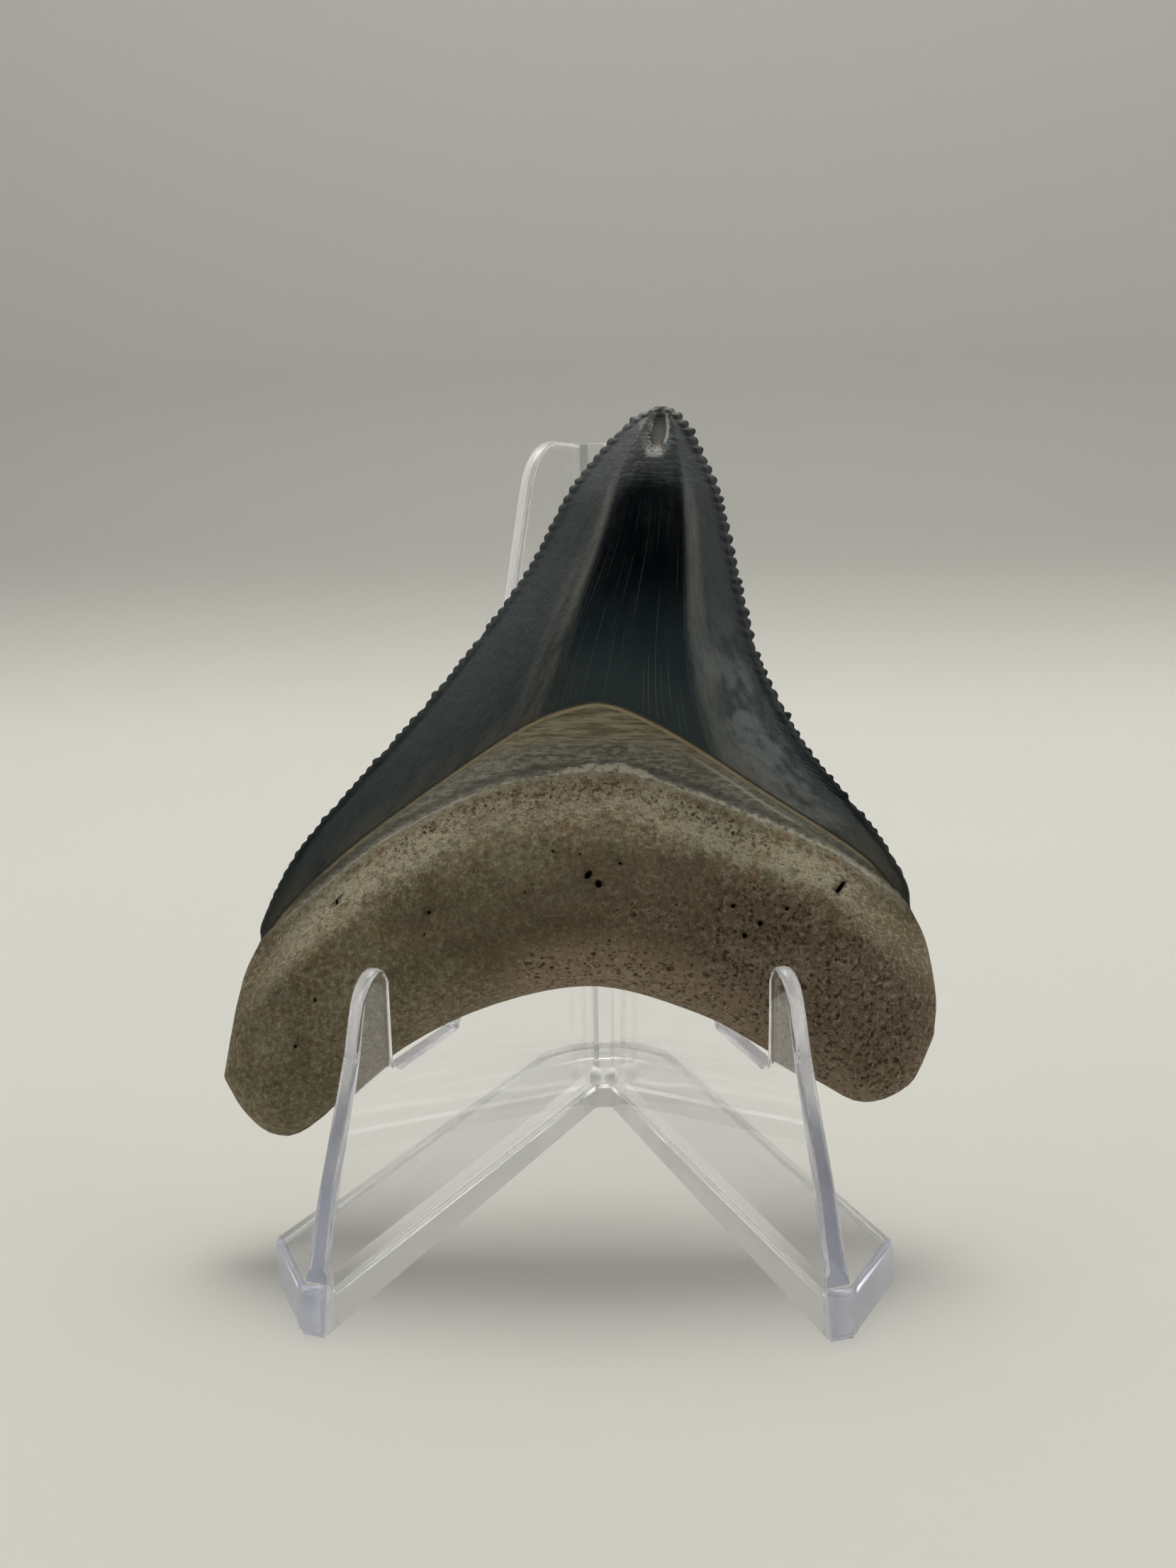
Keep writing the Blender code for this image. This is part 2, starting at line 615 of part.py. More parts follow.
def main():
    clear_scene()
    group = new_collection("megalodon_tooth")
    cutters = new_collection("cutters")
    stand = build_stand(group)
    tooth = build_tooth(group, cutters)
    stand_on_origin([tooth, stand], list(cutters.objects))


main()
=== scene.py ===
"""A fossil megalodon tooth leaning on its clear moulded easel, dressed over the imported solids."""

import math

import bmesh
import bpy
import numpy as np
from mathutils import Matrix, Vector, noise


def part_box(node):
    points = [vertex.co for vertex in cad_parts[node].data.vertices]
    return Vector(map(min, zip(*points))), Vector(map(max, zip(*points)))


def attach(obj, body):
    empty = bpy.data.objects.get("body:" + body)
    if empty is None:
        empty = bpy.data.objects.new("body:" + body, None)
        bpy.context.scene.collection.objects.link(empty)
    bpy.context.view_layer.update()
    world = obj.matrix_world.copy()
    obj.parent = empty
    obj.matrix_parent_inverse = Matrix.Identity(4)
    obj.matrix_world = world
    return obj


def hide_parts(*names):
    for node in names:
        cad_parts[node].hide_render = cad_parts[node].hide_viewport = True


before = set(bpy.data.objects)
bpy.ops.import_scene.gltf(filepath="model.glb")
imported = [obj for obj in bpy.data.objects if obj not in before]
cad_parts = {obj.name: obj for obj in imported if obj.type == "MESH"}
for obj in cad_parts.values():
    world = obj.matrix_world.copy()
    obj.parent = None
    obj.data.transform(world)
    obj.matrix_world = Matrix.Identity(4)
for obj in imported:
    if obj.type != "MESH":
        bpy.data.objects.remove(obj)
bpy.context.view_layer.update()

# ---------------------------------------------------------------------------------------------
# Clear easel.  One injection moulding in clear polystyrene: a V-shaped slab, and on each leg a thin
# upright fin with a seat, a rounded prong in front of it and a tall back rest.  The two fins meet in
# a narrow web at the back.  Every edge is slightly rounded, as it leaves a polished mould.

# Sizes in millimetres.  Reach runs forward along a leg from the back, where the two legs meet, and
# beside runs outward across the leg from the middle plane of its fin.
MM = 0.001
LEG_ANGLE = math.radians(20.0)
APEX_HALF_GAP = 1.08
SLAB_THICK = 4.28
SLAB_INNER = -1.04
SLAB_OUTER = 8.5
SLAB_CORNER_REACH = 52.7
SLAB_CORNER_ROUND = 1.1
SLAB_ROUND = 0.65
FOOT_NOSE = [(59.2, -1.04), (60.0, -0.75), (60.3, -0.1), (60.3, 0.9), (59.9, 1.5), (59.3, 2.0)]
FIN_REACH = 60.0
FIN_BACK = 0.3
FIN_THICK_FOOT = 2.08
FIN_THICK_TOP = 1.45
FIN_THINS_OVER = 22.0
FIN_ROUND = 0.45
PRONG_TOP = 28.2
SEAT_HEIGHT = 18.9
UPRIGHT_TOP = 74.8
WEB_FRONT = -2.45
WEB_BACK = -0.32
WEB_HALF = 1.3
# Small beads of plastic where the fins, the web and the slab meet: middle and radius.
BEADS = [(Vector((-1.25, -3.0, 3.9)), 1.15),
         (Vector((1.15, -3.0, 3.85)), 1.05),
         (Vector((2.1, -3.9, 3.85)), 0.85)]

# The point on the table that the slab's round heel turns about.  The easel and the tooth are both made
# around it.
stand_low, stand_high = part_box("display_stand")
rear_radius = SLAB_OUTER + APEX_HALF_GAP * math.cos(LEG_ANGLE)
apex = Vector((0.5 * (stand_low.x + stand_high.x), stand_high.y - rear_radius * MM, 0.0))


def rounded(before, corner, after, radius, steps=6):
    """A corner of an outline replaced by an arc."""
    corner = Vector(corner)
    one = (Vector(before) - corner).normalized()
    two = (Vector(after) - corner).normalized()
    half = 0.5 * one.angle(two)
    centre = corner + (one + two).normalized() * (radius / math.sin(half))
    first = corner + one * (radius / math.tan(half)) - centre
    last = corner + two * (radius / math.tan(half)) - centre
    turn = -first.angle_signed(last)
    return [tuple(centre + Matrix.Rotation(turn * k / steps, 2) @ first) for k in range(steps + 1)]


def plate(outline, thick_at):
    """A closed plate on both sides of its middle plane; thick_at gives its thickness at a height."""
    build = bmesh.new()
    front = [build.verts.new((u, v, 0.5 * thick_at(v))) for u, v in outline]
    back = [build.verts.new((u, v, -0.5 * thick_at(v))) for u, v in outline]
    build.faces.new(front)
    build.faces.new(list(reversed(back)))
    for k in range(len(outline)):
        after = (k + 1) % len(outline)
        build.faces.new([front[k], back[k], back[after], front[after]])
    bmesh.ops.recalc_face_normals(build, faces=build.faces[:])
    return build


def solid_from(build, name, place):
    """A plate moved to its place, in millimetres still, as an object."""
    bmesh.ops.transform(build, matrix=place, verts=build.verts[:])
    bmesh.ops.recalc_face_normals(build, faces=build.faces[:])
    mesh = bpy.data.meshes.new(name)
    build.to_mesh(mesh)
    build.free()
    made = bpy.data.objects.new(name, mesh)
    bpy.context.scene.collection.objects.link(made)
    return made


def joined(target, tool, operation, solver="EXACT"):
    """Boolean of two closed objects; the tool is used up."""
    step = target.modifiers.new(tool.name, "BOOLEAN")
    step.operation = operation
    step.solver = solver
    step.object = tool
    bpy.context.view_layer.update()
    mesh = bpy.data.meshes.new_from_object(target.evaluated_get(bpy.context.evaluated_depsgraph_get()))
    target.modifiers.clear()
    target.data = mesh
    bpy.data.objects.remove(tool, do_unlink=True)


def rims(build):
    """Edges around a plate's two faces, but not the short ones across its thickness."""
    return [edge for edge in build.edges if edge.verts[0].co.z * edge.verts[1].co.z > 0.0]


# The slab from above: a round heel behind the web, blunt outer corners, a nose around each foot.
sine, cosine = math.sin(LEG_ANGLE), math.cos(LEG_ANGLE)


def on_leg(reach, beside):
    """A place on the right leg, seen from above."""
    return (APEX_HALF_GAP + reach * sine + beside * cosine, -reach * cosine + beside * sine)


inner_border = [((-WEB_FRONT + SLAB_INNER * sine) / cosine, SLAB_INNER), (56.5, SLAB_INNER)]
blunt_corner = (SLAB_CORNER_REACH, SLAB_OUTER)
outer_corner = rounded(FOOT_NOSE[-1], blunt_corner, (0.0, SLAB_OUTER), SLAB_CORNER_ROUND, 4)
slab_right = [on_leg(*spot) for spot in inner_border + FOOT_NOSE + outer_corner]
slab_right += [(rear_radius * math.cos(math.radians(around)), rear_radius * math.sin(math.radians(around)))
               for around in range(20, 90, 5)]
slab_outline = slab_right + [(0.0, rear_radius)] + [(-x, y) for x, y in reversed(slab_right)]
slab = plate(slab_outline, lambda v: SLAB_THICK)
bmesh.ops.bevel(slab, geom=rims(slab), offset=SLAB_ROUND, segments=4, profile=0.5, affect="EDGES")
easel = solid_from(slab, "clear_easel", Matrix.Translation((0.0, 0.0, 0.5 * SLAB_THICK)))

# A fin from the side, as (reach, height): curved front edge, prong, seat, leaning back rest.
fin_outline = [(FIN_REACH, 0.0), (59.25, SLAB_THICK), (59.0, 5.3), (57.25, 11.0), (55.45, 15.2),
               (53.9, 18.6), (52.6, 21.8), (51.75, 24.8), (51.45, 25.7), (51.05, 26.5), (50.55, 27.2),
               (49.9, 27.75), (49.3, 28.05), (48.7, PRONG_TOP), (48.1, 28.15), (47.5, 27.85),
               (47.05, 27.35), (46.75, 26.7)]
fin_outline += rounded((46.7, 26.0), (46.7, SEAT_HEIGHT - 0.3), (36.0, SEAT_HEIGHT + 0.2), 1.2)
fin_outline += rounded((46.0, SEAT_HEIGHT - 0.3), (34.7, SEAT_HEIGHT + 0.25), (13.4, UPRIGHT_TOP), 1.0)
fin_outline += rounded((34.7, SEAT_HEIGHT), (13.4, UPRIGHT_TOP), (0.0, UPRIGHT_TOP), 8.0, 16)
fin_outline += [(FIN_BACK, height) for height in (UPRIGHT_TOP, 26.3, SLAB_THICK, 0.0)]


def fin_thick(height):
    """As thick as the slab's inner border below, then thinner up to the prong's top."""
    thinned = min(max(height - SLAB_THICK, 0.0) / FIN_THINS_OVER, 1.0)
    return FIN_THICK_FOOT + (FIN_THICK_TOP - FIN_THICK_FOOT) * thinned


for side in (-1.0, 1.0):
    stand_up = Matrix(((side * sine, 0.0, side * cosine, side * APEX_HALF_GAP),
                       (-cosine, 0.0, sine, 0.0),
                       (0.0, 1.0, 0.0, 0.0),
                       (0.0, 0.0, 0.0, 1.0)))
    fin = plate(fin_outline, fin_thick)
    # Its rims are rounded, but not inside the slab or along the web.
    free_rims = [edge for edge in rims(fin) if min(vert.co.y for vert in edge.verts) > SLAB_THICK + 0.5
                 and max(vert.co.x for vert in edge.verts) > FIN_BACK + 0.2]
    bmesh.ops.bevel(fin, geom=free_rims, offset=FIN_ROUND, segments=3, profile=0.5, affect="EDGES")
    joined(easel, solid_from(fin, "fin", stand_up), "UNION")
web_outline = [(-1.45, WEB_FRONT - 0.42), (-0.48, WEB_FRONT), (0.95, WEB_FRONT), (1.45, WEB_FRONT - 0.25),
               (WEB_HALF, WEB_BACK), (-WEB_HALF, WEB_BACK)]
web = plate(web_outline, lambda v: UPRIGHT_TOP)
joined(easel, solid_from(web, "web", Matrix.Translation((0.0, 0.0, 0.5 * UPRIGHT_TOP))), "UNION")
for spot, radius in BEADS:
    bead = bmesh.new()
    bmesh.ops.create_icosphere(bead, subdivisions=3, radius=radius)
    joined(easel, solid_from(bead, "bead", Matrix.Translation(spot)), "UNION")

# Drop what the joins left over, keep real corners sharp, and set the moulding in its place.
moulding = bmesh.new()
moulding.from_mesh(easel.data)
bmesh.ops.remove_doubles(moulding, verts=moulding.verts[:], dist=0.05)
bmesh.ops.dissolve_limit(moulding, angle_limit=math.radians(1.0), verts=moulding.verts[:],
                         edges=moulding.edges[:])
for edge in moulding.edges:
    edge.smooth = edge.calc_face_angle(0.0) < math.radians(32.0)
bmesh.ops.transform(moulding, matrix=Matrix.Translation(apex) @ Matrix.Scale(MM, 4), verts=moulding.verts[:])
moulding.to_mesh(easel.data)
moulding.free()

# Finishes, in the order of the material slots: polished flats, the slab's duller borders, the prongs' and
# fins' fronts seen edge-on, the rounded edges, the feet with the seats and back rests, a crease in the
# web's front tinted grey as painted shade, and the beads in near-opaque white as painted highlights.
FLAT, BORDER, PRONG, ROUNDING, FOOT, CREASE, BEAD = range(7)
FOOT_FROM = 56.0
CORNER_FROM = 50.0
PRONG_FROM = 46.4
for face in easel.data.polygons:
    face.use_smooth = True
    normal = face.normal
    spot = (face.center - apex) / MM
    reach = -spot.y * cosine + (abs(spot.x) - APEX_HALF_GAP) * sine
    sideways = abs(normal.x * cosine + math.copysign(sine, spot.x) * normal.y)
    level = abs(normal.z) >= 0.99
    on_slab = spot.z < SLAB_THICK and not level
    side_or_rear = not on_slab and max(sideways - 0.05, normal.y) > 0.9
    if side_or_rear or level and (normal.z < 0.0 or spot.z < 10.0):
        face.material_index = FLAT
    elif any((spot - middle).length < radius + 0.1 for middle, radius in BEADS):
        face.material_index = BEAD
    elif abs(spot.x) < 1.5 and normal.y < -0.8:
        face.material_index = CREASE if normal.x > 0.3 and not on_slab else FLAT
    elif on_slab:
        face.material_index = FOOT if reach > FOOT_FROM else ROUNDING if reach > CORNER_FROM else BORDER
    elif sideways > 0.1:
        face.material_index = ROUNDING
    else:
        face.material_index = PRONG if reach >= PRONG_FROM else FOOT
even = easel.modifiers.new("flat_faces", "WEIGHTED_NORMAL")
even.keep_sharp = True
even.weight = 80


class Wire:
    """A socket in a material's node tree.  Arithmetic on it adds Math nodes, and node() adds any other."""

    def __init__(self, tree, socket=None):
        self.tree = tree
        self.socket = socket

    def node(self, kind, settings=None, sockets=None, output=0):
        """Add a node: its settings first, then a value or a wire for each named or numbered socket."""
        made = self.tree.nodes.new(kind)
        for name, value in (settings or {}).items():
            if name == "stops":
                ramp = made.color_ramp.elements
                while len(ramp) < len(value):
                    ramp.new(0.5)
                for stop, (position, colour) in zip(ramp, value):
                    stop.position = position
                    stop.color = (*colour, 1.0)
            else:
                setattr(made, name, value)
        for name, value in (sockets or {}).items():
            self.link(value, made.inputs[name])
        return Wire(self.tree, made.outputs[output] if made.outputs else None)

    def link(self, value, socket):
        """Give a socket a wire or a plain value."""
        if isinstance(value, Wire):
            self.tree.links.new(value.socket, socket)
        else:
            socket.default_value = value

    def maths(self, operation, first, second=0.0):
        return self.node("ShaderNodeMath", {"operation": operation}, {0: first, 1: second})

    def __add__(self, other):
        return self.maths("ADD", self, other)

    def __sub__(self, other):
        return self.maths("SUBTRACT", self, other)

    def __rsub__(self, other):
        return self.maths("SUBTRACT", other, self)

    def __mul__(self, other):
        return self.maths("MULTIPLY", self, other)

    def __truediv__(self, other):
        return self.maths("DIVIDE", self, other)

    def __rtruediv__(self, other):
        return self.maths("DIVIDE", other, self)

    def __pow__(self, other):
        return self.maths("POWER", self, other)

    def __rpow__(self, other):
        return self.maths("POWER", other, self)

    __radd__ = __add__
    __rmul__ = __mul__

    def size(self):
        """The number without its sign."""
        return self.maths("ABSOLUTE", self)

    def floor(self):
        return self.maths("FLOOR", self)

    def larger(self, other):
        """The larger of the two."""
        return self.maths("MAXIMUM", self, other)

    def part(self, axis):
        """One number of a vector: 0 for x, 1 for y, 2 for z."""
        return self.node("ShaderNodeSeparateXYZ", None, {"Vector": self}, axis)

    def vector(self, operation, other):
        """Vector Math with another wire, a vector or, for SCALE, a number."""
        return self.node("ShaderNodeVectorMath", {"operation": operation},
                         {0: self, "Scale" if operation == "SCALE" else 1: other})

    def between(self, low, high):
        """0 below low, 1 above high, eased between; low may be the larger."""
        settings = {"interpolation_type": "SMOOTHSTEP"}
        return self.node("ShaderNodeMapRange", settings, {"Value": self, "From Min": low, "From Max": high})

    def blend(self, low, high):
        """Colour low where this is 0 and high where it is 1."""
        low = low if isinstance(low, Wire) else (*low, 1.0)
        high = high if isinstance(high, Wire) else (*high, 1.0)
        return self.node("ShaderNodeMix", {"data_type": "RGBA"}, {0: self, 6: low, 7: high}, 2)

    def surface(self):
        """Link this shader to the material's output."""
        self.node("ShaderNodeOutputMaterial", None, {"Surface": self})


def start_material(name):
    """A material with an empty tree, and a wire to start from."""
    made = bpy.data.materials.new(name)
    made.use_nodes = True
    made.node_tree.nodes.clear()
    return made, Wire(made.node_tree)


# One clear plastic in its seven finishes, with faint handling marks and a slow ripple.  The plastic's
# violet-blue cast gathers where it is seen edge-on and fades from the slab up, between two heights in
# metres.  Light on its way to the things behind goes straight through.
TINT_FROM, TINT_TO = 0.008, 0.026
STRAIGHT_THROUGH = (0.955, 0.955, 0.96, 1.0)
for name, dullness, clearness, low_tint, high_tint in (
        ("clear_polystyrene", 0.03, 1.0, (0.975, 0.975, 0.98), (0.98, 0.98, 0.985)),
        ("clear_polystyrene_side", 0.14, 0.97, (0.92, 0.92, 0.93), (0.95, 0.95, 0.96)),
        ("clear_polystyrene_prong", 0.28, 0.94, (0.33, 0.355, 0.53), (0.93, 0.93, 0.94)),
        ("clear_polystyrene_rounding", 0.18, 0.88, (0.70, 0.71, 0.85), (0.90, 0.885, 0.945)),
        ("clear_polystyrene_foot", 0.24, 0.96, (0.58, 0.61, 0.81), (0.84, 0.82, 0.91)),
        # The crease's grey tint is painted shade along the web's front crease.
        ("clear_polystyrene_crease_shade", 0.10, 1.0, (0.52, 0.55, 0.57), (0.52, 0.55, 0.57)),
        # The beads' near-opaque white is painted highlight, standing in for the lamp's glints in the fillets.
        ("clear_polystyrene_bead_highlight", 0.22, 0.10, (0.97, 0.97, 0.98), (0.97, 0.97, 0.98))):
    plastic, wire = start_material(name)
    spot = wire.node("ShaderNodeTexCoord", output=3)
    handling = wire.node("ShaderNodeTexNoise", None, {"Vector": spot, "Scale": 160.0, "Detail": 3.0})
    flow = wire.node("ShaderNodeTexNoise", None, {"Vector": spot, "Scale": 45.0, "Detail": 1.0})
    ripple = wire.node("ShaderNodeBump", None, {"Height": flow, "Strength": 0.12, "Distance": 0.0004})
    tint = spot.part(2).between(TINT_FROM, TINT_TO).blend(low_tint, high_tint)
    shown = wire.node("ShaderNodeBsdfPrincipled", None, {
        "Base Color": tint, "Roughness": dullness + 0.05 * handling.between(0.45, 0.75),
        "IOR": 1.52, "Transmission Weight": clearness, "Normal": ripple})
    straight = wire.node("ShaderNodeBsdfTransparent", None, {"Color": STRAIGHT_THROUGH})
    diffuse_ray = wire.node("ShaderNodeLightPath", output="Is Diffuse Ray")
    shadow_ray = wire.node("ShaderNodeLightPath", output="Is Shadow Ray")
    shown = wire.node("ShaderNodeMixShader", None, {0: diffuse_ray, 1: shown, 2: straight})
    wire.node("ShaderNodeMixShader", None, {0: shadow_ray, 1: shown, 2: straight}).surface()
    easel.data.materials.append(plastic)
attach(easel, "root")
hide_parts("display_stand")

# ---------------------------------------------------------------------------------------------
# Fossil tooth.  It grew as one piece: a glossy enamel crown with a serrated cutting edge down each
# side, a dull band under the enamel, and a porous two-lobed root.  Minerals have turned the enamel
# slate grey and the root tan.  It leans on the easel's back rests with its arch on the two seats.

# Sizes in millimetres.  Outlines lie in the plane of the two cutting edges, as (x, s): x to the right of
# the easel's middle and s up the leaning tooth from its seats.
LEAN = math.radians(18.5)
SEAT_LINE = -32.5
EDGE_PLANE_OFFSET = 4.4
LEFT_EDGE = [(7.1, 60.1), (5.6, 59.4), (4.3, 58.4), (2.6, 56.8), (-1.6, 51.3), (-6.1, 42.7),
             (-14.3, 31.6), (-23.8, 20.6), (-28.0, 15.2), (-30.3, 9.9), (-30.4, 8.0)]
RIGHT_EDGE = [(8.1, 60.1), (9.2, 59.4), (10.1, 58.2), (10.9, 56.7), (13.2, 50.9), (14.9, 42.3), (16.9, 33.9),
              (21.1, 25.6), (27.4, 17.4), (29.8, 13.2), (30.1, 10.6)]
ENAMEL_LINE = [(-30.4, 8.0), (-27.0, 12.0), (-20.9, 17.2), (-11.7, 23.3), (-4.5, 27.4), (0.2, 28.9),
               (2.2, 29.0), (4.5, 28.3), (9.0, 26.0), (16.4, 21.4), (25.2, 16.0), (28.3, 12.9), (30.1, 10.6)]
ROOT_LINE = [(-30.4, 8.0), (-23.8, 13.1), (-17.7, 17.3), (-8.6, 21.1), (0.5, 22.5), (5.9, 22.0),
             (13.5, 19.2), (22.2, 15.9), (28.0, 12.2), (30.1, 10.6)]
ROOT_LEFT = [(-30.4, 8.0), (-31.9, 4.5), (-32.8, -0.8), (-33.3, -4.6)]
ROOT_RIGHT = [(30.1, 10.6), (31.4, 7.5), (32.1, 2.6), (31.8, -0.9)]
ARCH_X, ARCH_S = 1.0, 3.6
ROOT_BOTTOM = [(-33.3, -4.6), (-31.2, -7.8), (-28.4, -9.8), (-25.1, -9.0), (-17.5, -2.5), (-8.8, 1.8),
               (ARCH_X, ARCH_S), (10.4, 1.1), (16.4, -2.1), (21.5, -5.2), (25.3, -6.9), (29.4, -5.3),
               (31.8, -0.9)]
TIP_HEIGHT = 60.3
TIP_FACET_DEPTH = 0.36
HOLLOW_X, HOLLOW_S, HOLLOW_SLANT, HOLLOW_DEPTH = 7.4, 57.0, 0.10, 0.34
CROWN_SWELL = 7.6
LABIAL_SWELL = 4.8
ENAMEL_STEP = 0.22
LIP_HEIGHT = 0.16
ROOT_SWELL_MIDDLE = 9.3
ROOT_SWELL_LOBE = 5.4
ROOT_LABIAL = 3.6
ROOT_ROUND = 6.5
ROOT_LABIAL_ROUND = 4.2
SERRATION_PITCH = 1.06
SERRATION_DEPTH = 0.42
CROWN_ROWS = 434
ROOT_ROWS = 110
COLUMNS = 76
# The crown's gently curved middle and the bend into the flank on each side, as shares of its half width.
CROWN_MIDDLE, BEND_LEFT, BEND_RIGHT, BEND_SOFT = 0.1, -0.25, 0.47, 0.12
# Pores in the root: (x, s, half width, half length, turn in degrees).
PORES = [(0.9, 12.9, 0.30, 0.46, -35.0), (1.8, 12.1, 0.31, 0.38, 20.0), (23.4, 12.2, 0.22, 1.35, -38.0),
         (-22.6, 11.2, 0.14, 0.34, 8.0), (-13.5, 9.9, 0.20, 0.18, 0.0), (-23.9, 2.2, 0.13, 0.22, 10.0),
         (-25.6, -1.9, 0.17, 0.17, 0.0), (-2.2, 15.0, 0.12, 0.12, 0.0), (0.2, 14.7, 0.11, 0.11, 0.0),
         (3.7, 13.9, 0.15, 0.15, 0.0), (-4.1, 12.1, 0.10, 0.10, 0.0), (-4.7, 11.4, 0.12, 0.12, 0.0),
         (13.6, 10.3, 0.22, 0.22, 0.0), (18.4, 10.1, 0.20, 0.20, 0.0), (16.0, 8.8, 0.26, 0.26, 0.0),
         (14.6, 7.7, 0.24, 0.28, 0.0), (-13.9, 7.9, 0.09, 0.14, 0.0), (15.5, 11.9, 0.09, 0.09, 0.0)]


def smooth_line(points, per_span=16):
    """Catmull-Rom curve through the points."""
    knots = np.array(points, dtype=float)
    knots = np.vstack([2.0 * knots[0] - knots[1], knots, 2.0 * knots[-1] - knots[-2]])
    line = []
    for k in range(1, len(knots) - 2):
        p0, p1, p2, p3 = knots[k - 1:k + 3]
        for f in np.arange(per_span) / per_span:
            line.append(0.5 * (2.0 * p1 + (p2 - p0) * f + (2.0 * p0 - 5.0 * p1 + 4.0 * p2 - p3) * f * f
                               + (3.0 * p1 - p0 - 3.0 * p2 + p3) * f ** 3))
    line.append(knots[-2])
    return np.array(line)


def line_length(line):
    return float(np.hypot(*np.diff(line, axis=0).T).sum())


def along(line, fractions):
    """Points at fractions of the line's length."""
    length = np.concatenate([[0.0], np.cumsum(np.hypot(*np.diff(line, axis=0).T))])
    want = np.asarray(fractions, dtype=float) * length[-1]
    return np.stack([np.interp(want, length, line[:, 0]), np.interp(want, length, line[:, 1])], axis=-1)


def height_at(line, x):
    return np.interp(x, line[:, 0], line[:, 1])


def ease(value):
    value = np.clip(value, 0.0, 1.0)
    return value * value * (3.0 - 2.0 * value)


left_edge = smooth_line(LEFT_EDGE)
right_edge = smooth_line(RIGHT_EDGE)
enamel_line = smooth_line(ENAMEL_LINE)
root_line = smooth_line(ROOT_LINE)
side_left = smooth_line(ROOT_LEFT)
side_right = smooth_line(ROOT_RIGHT)
bottom_line = smooth_line(ROOT_BOTTOM)
root_outline = np.vstack([side_left[::4], bottom_line[1::4], side_right[::-4]])


def labial_line(x):
    """Lower edge of the enamel on the flatter face."""
    return 0.5 * (height_at(root_line, x) + height_at(enamel_line, x)) - 7.0 * np.exp(-(x / 17.0) ** 2)


def to_outline(x, s):
    """Distance from the root's outline."""
    start = root_outline[:-1]
    span = root_outline[1:] - start
    near = np.full(np.shape(x), 99.0)
    for (x0, s0), (dx, ds) in zip(start, span):
        part = np.clip(((x - x0) * dx + (s - s0) * ds) / max(dx * dx + ds * ds, 1e-9), 0.0, 1.0)
        near = np.minimum(near, np.hypot(x - x0 - part * dx, s - s0 - part * ds))
    return near


def crown_sides(s):
    """The crown's left and right edge at a height."""
    return (np.interp(-s, -left_edge[:, 1], left_edge[:, 0]),
            np.interp(-s, -right_edge[:, 1], right_edge[:, 0]))


def across(x, s):
    """-1 at the crown's left edge, 1 at its right edge."""
    left, right = crown_sides(s)
    half = np.maximum(0.5 * (right - left), 0.4)
    return np.clip((x - 0.5 * (right + left)) / half, -1.0, 1.0)


def wander(x, s, size, seed):
    """Slow unevenness, about -1 to 1."""
    flat = [noise.noise(Vector((a / size, b / size, seed))) for a, b in zip(np.ravel(x), np.ravel(s))]
    return np.array(flat).reshape(np.shape(x))


def bent(t):
    """Crown profile with a gently curved middle that falls away past a bend on each side, 1 to 0."""
    places = np.linspace(-1.0, 1.0, 801)
    right_fall = ease((places - BEND_RIGHT) / BEND_SOFT)
    left_fall = ease((BEND_LEFT - places) / BEND_SOFT)
    middle = 0.22 * (places - CROWN_MIDDLE)
    step = places[1] - places[0]
    right_side = places >= CROWN_MIDDLE
    right_fall = right_fall * (1.0 - (middle * right_side).sum() * step) / (right_fall.sum() * step)
    left_fall = left_fall * (1.0 + (middle * ~right_side).sum() * step) / (left_fall.sum() * step)
    profile = np.cumsum(left_fall - right_fall - middle) * step
    return np.interp(t, places, profile - profile[0])


def lingual_face(x, s, near):
    """Height of the bulging face over the plane of the cutting edges."""
    t = across(x, s)
    swell = CROWN_SWELL * (1.0 - np.exp(-np.maximum(TIP_HEIGHT - s, 0.0) / 18.0)) ** 0.9
    plain = 0.55 * (1.0 - t ** 2) + 0.45 * np.cos(0.5 * math.pi * t) ** 2
    crown = swell * (0.45 * plain + 0.55 * bent(t))
    below_enamel = height_at(enamel_line, x) - s
    below_root = height_at(root_line, x) - s
    rounding = np.sqrt(1.0 - (1.0 - np.clip(near / ROOT_ROUND, 0.0, 1.0)) ** 2)
    swell = ROOT_SWELL_LOBE + (ROOT_SWELL_MIDDLE - ROOT_SWELL_LOBE) * np.exp(-(x / 13.0) ** 2)
    blend = ease(below_root / 7.0)
    height = crown * (1.0 - blend) + swell * rounding * blend
    height = height - ENAMEL_STEP * ease(below_enamel / 0.25) * np.clip(near / 2.0, 0.0, 1.0)
    # The root starts with a low lip under the dull band.
    lip = ease(below_root / 0.5) * np.exp(-np.maximum(below_root, 0.0) / 1.6)
    height = height + LIP_HEIGHT * lip * np.clip(near / 2.0, 0.0, 1.0)
    # Worn tip: a slanting flat with a narrow hollow in it and a sharp right border.
    facet = ((x - 7.2) / 1.3) ** 2 + ((s - 57.1) / 2.5) ** 2
    height = height - TIP_FACET_DEPTH * np.exp(-facet ** 2)
    hollow = ((x - HOLLOW_X - HOLLOW_SLANT * (s - HOLLOW_S)) / 0.55) ** 2 + ((s - HOLLOW_S) / 1.9) ** 2
    height = height - HOLLOW_DEPTH * np.exp(-hollow ** 2)
    # A low swelling under the slit-shaped pore.
    height = height + 0.30 * np.exp(-((x - 23.5) / 1.2) ** 2 - ((s - 10.7) / 0.8) ** 2)
    # Bone that was never quite even.
    uneven = ease(below_root / 3.0) * np.clip(near / 3.0, 0.0, 1.0)
    height = height + uneven * (0.28 * wander(x, s, 7.0, 1.3) + 0.12 * wander(x, s, 2.7, 4.1))
    height = height + 0.05 * uneven * wander(x, s, 1.5, 6.6)
    return np.maximum(height, 0.0)


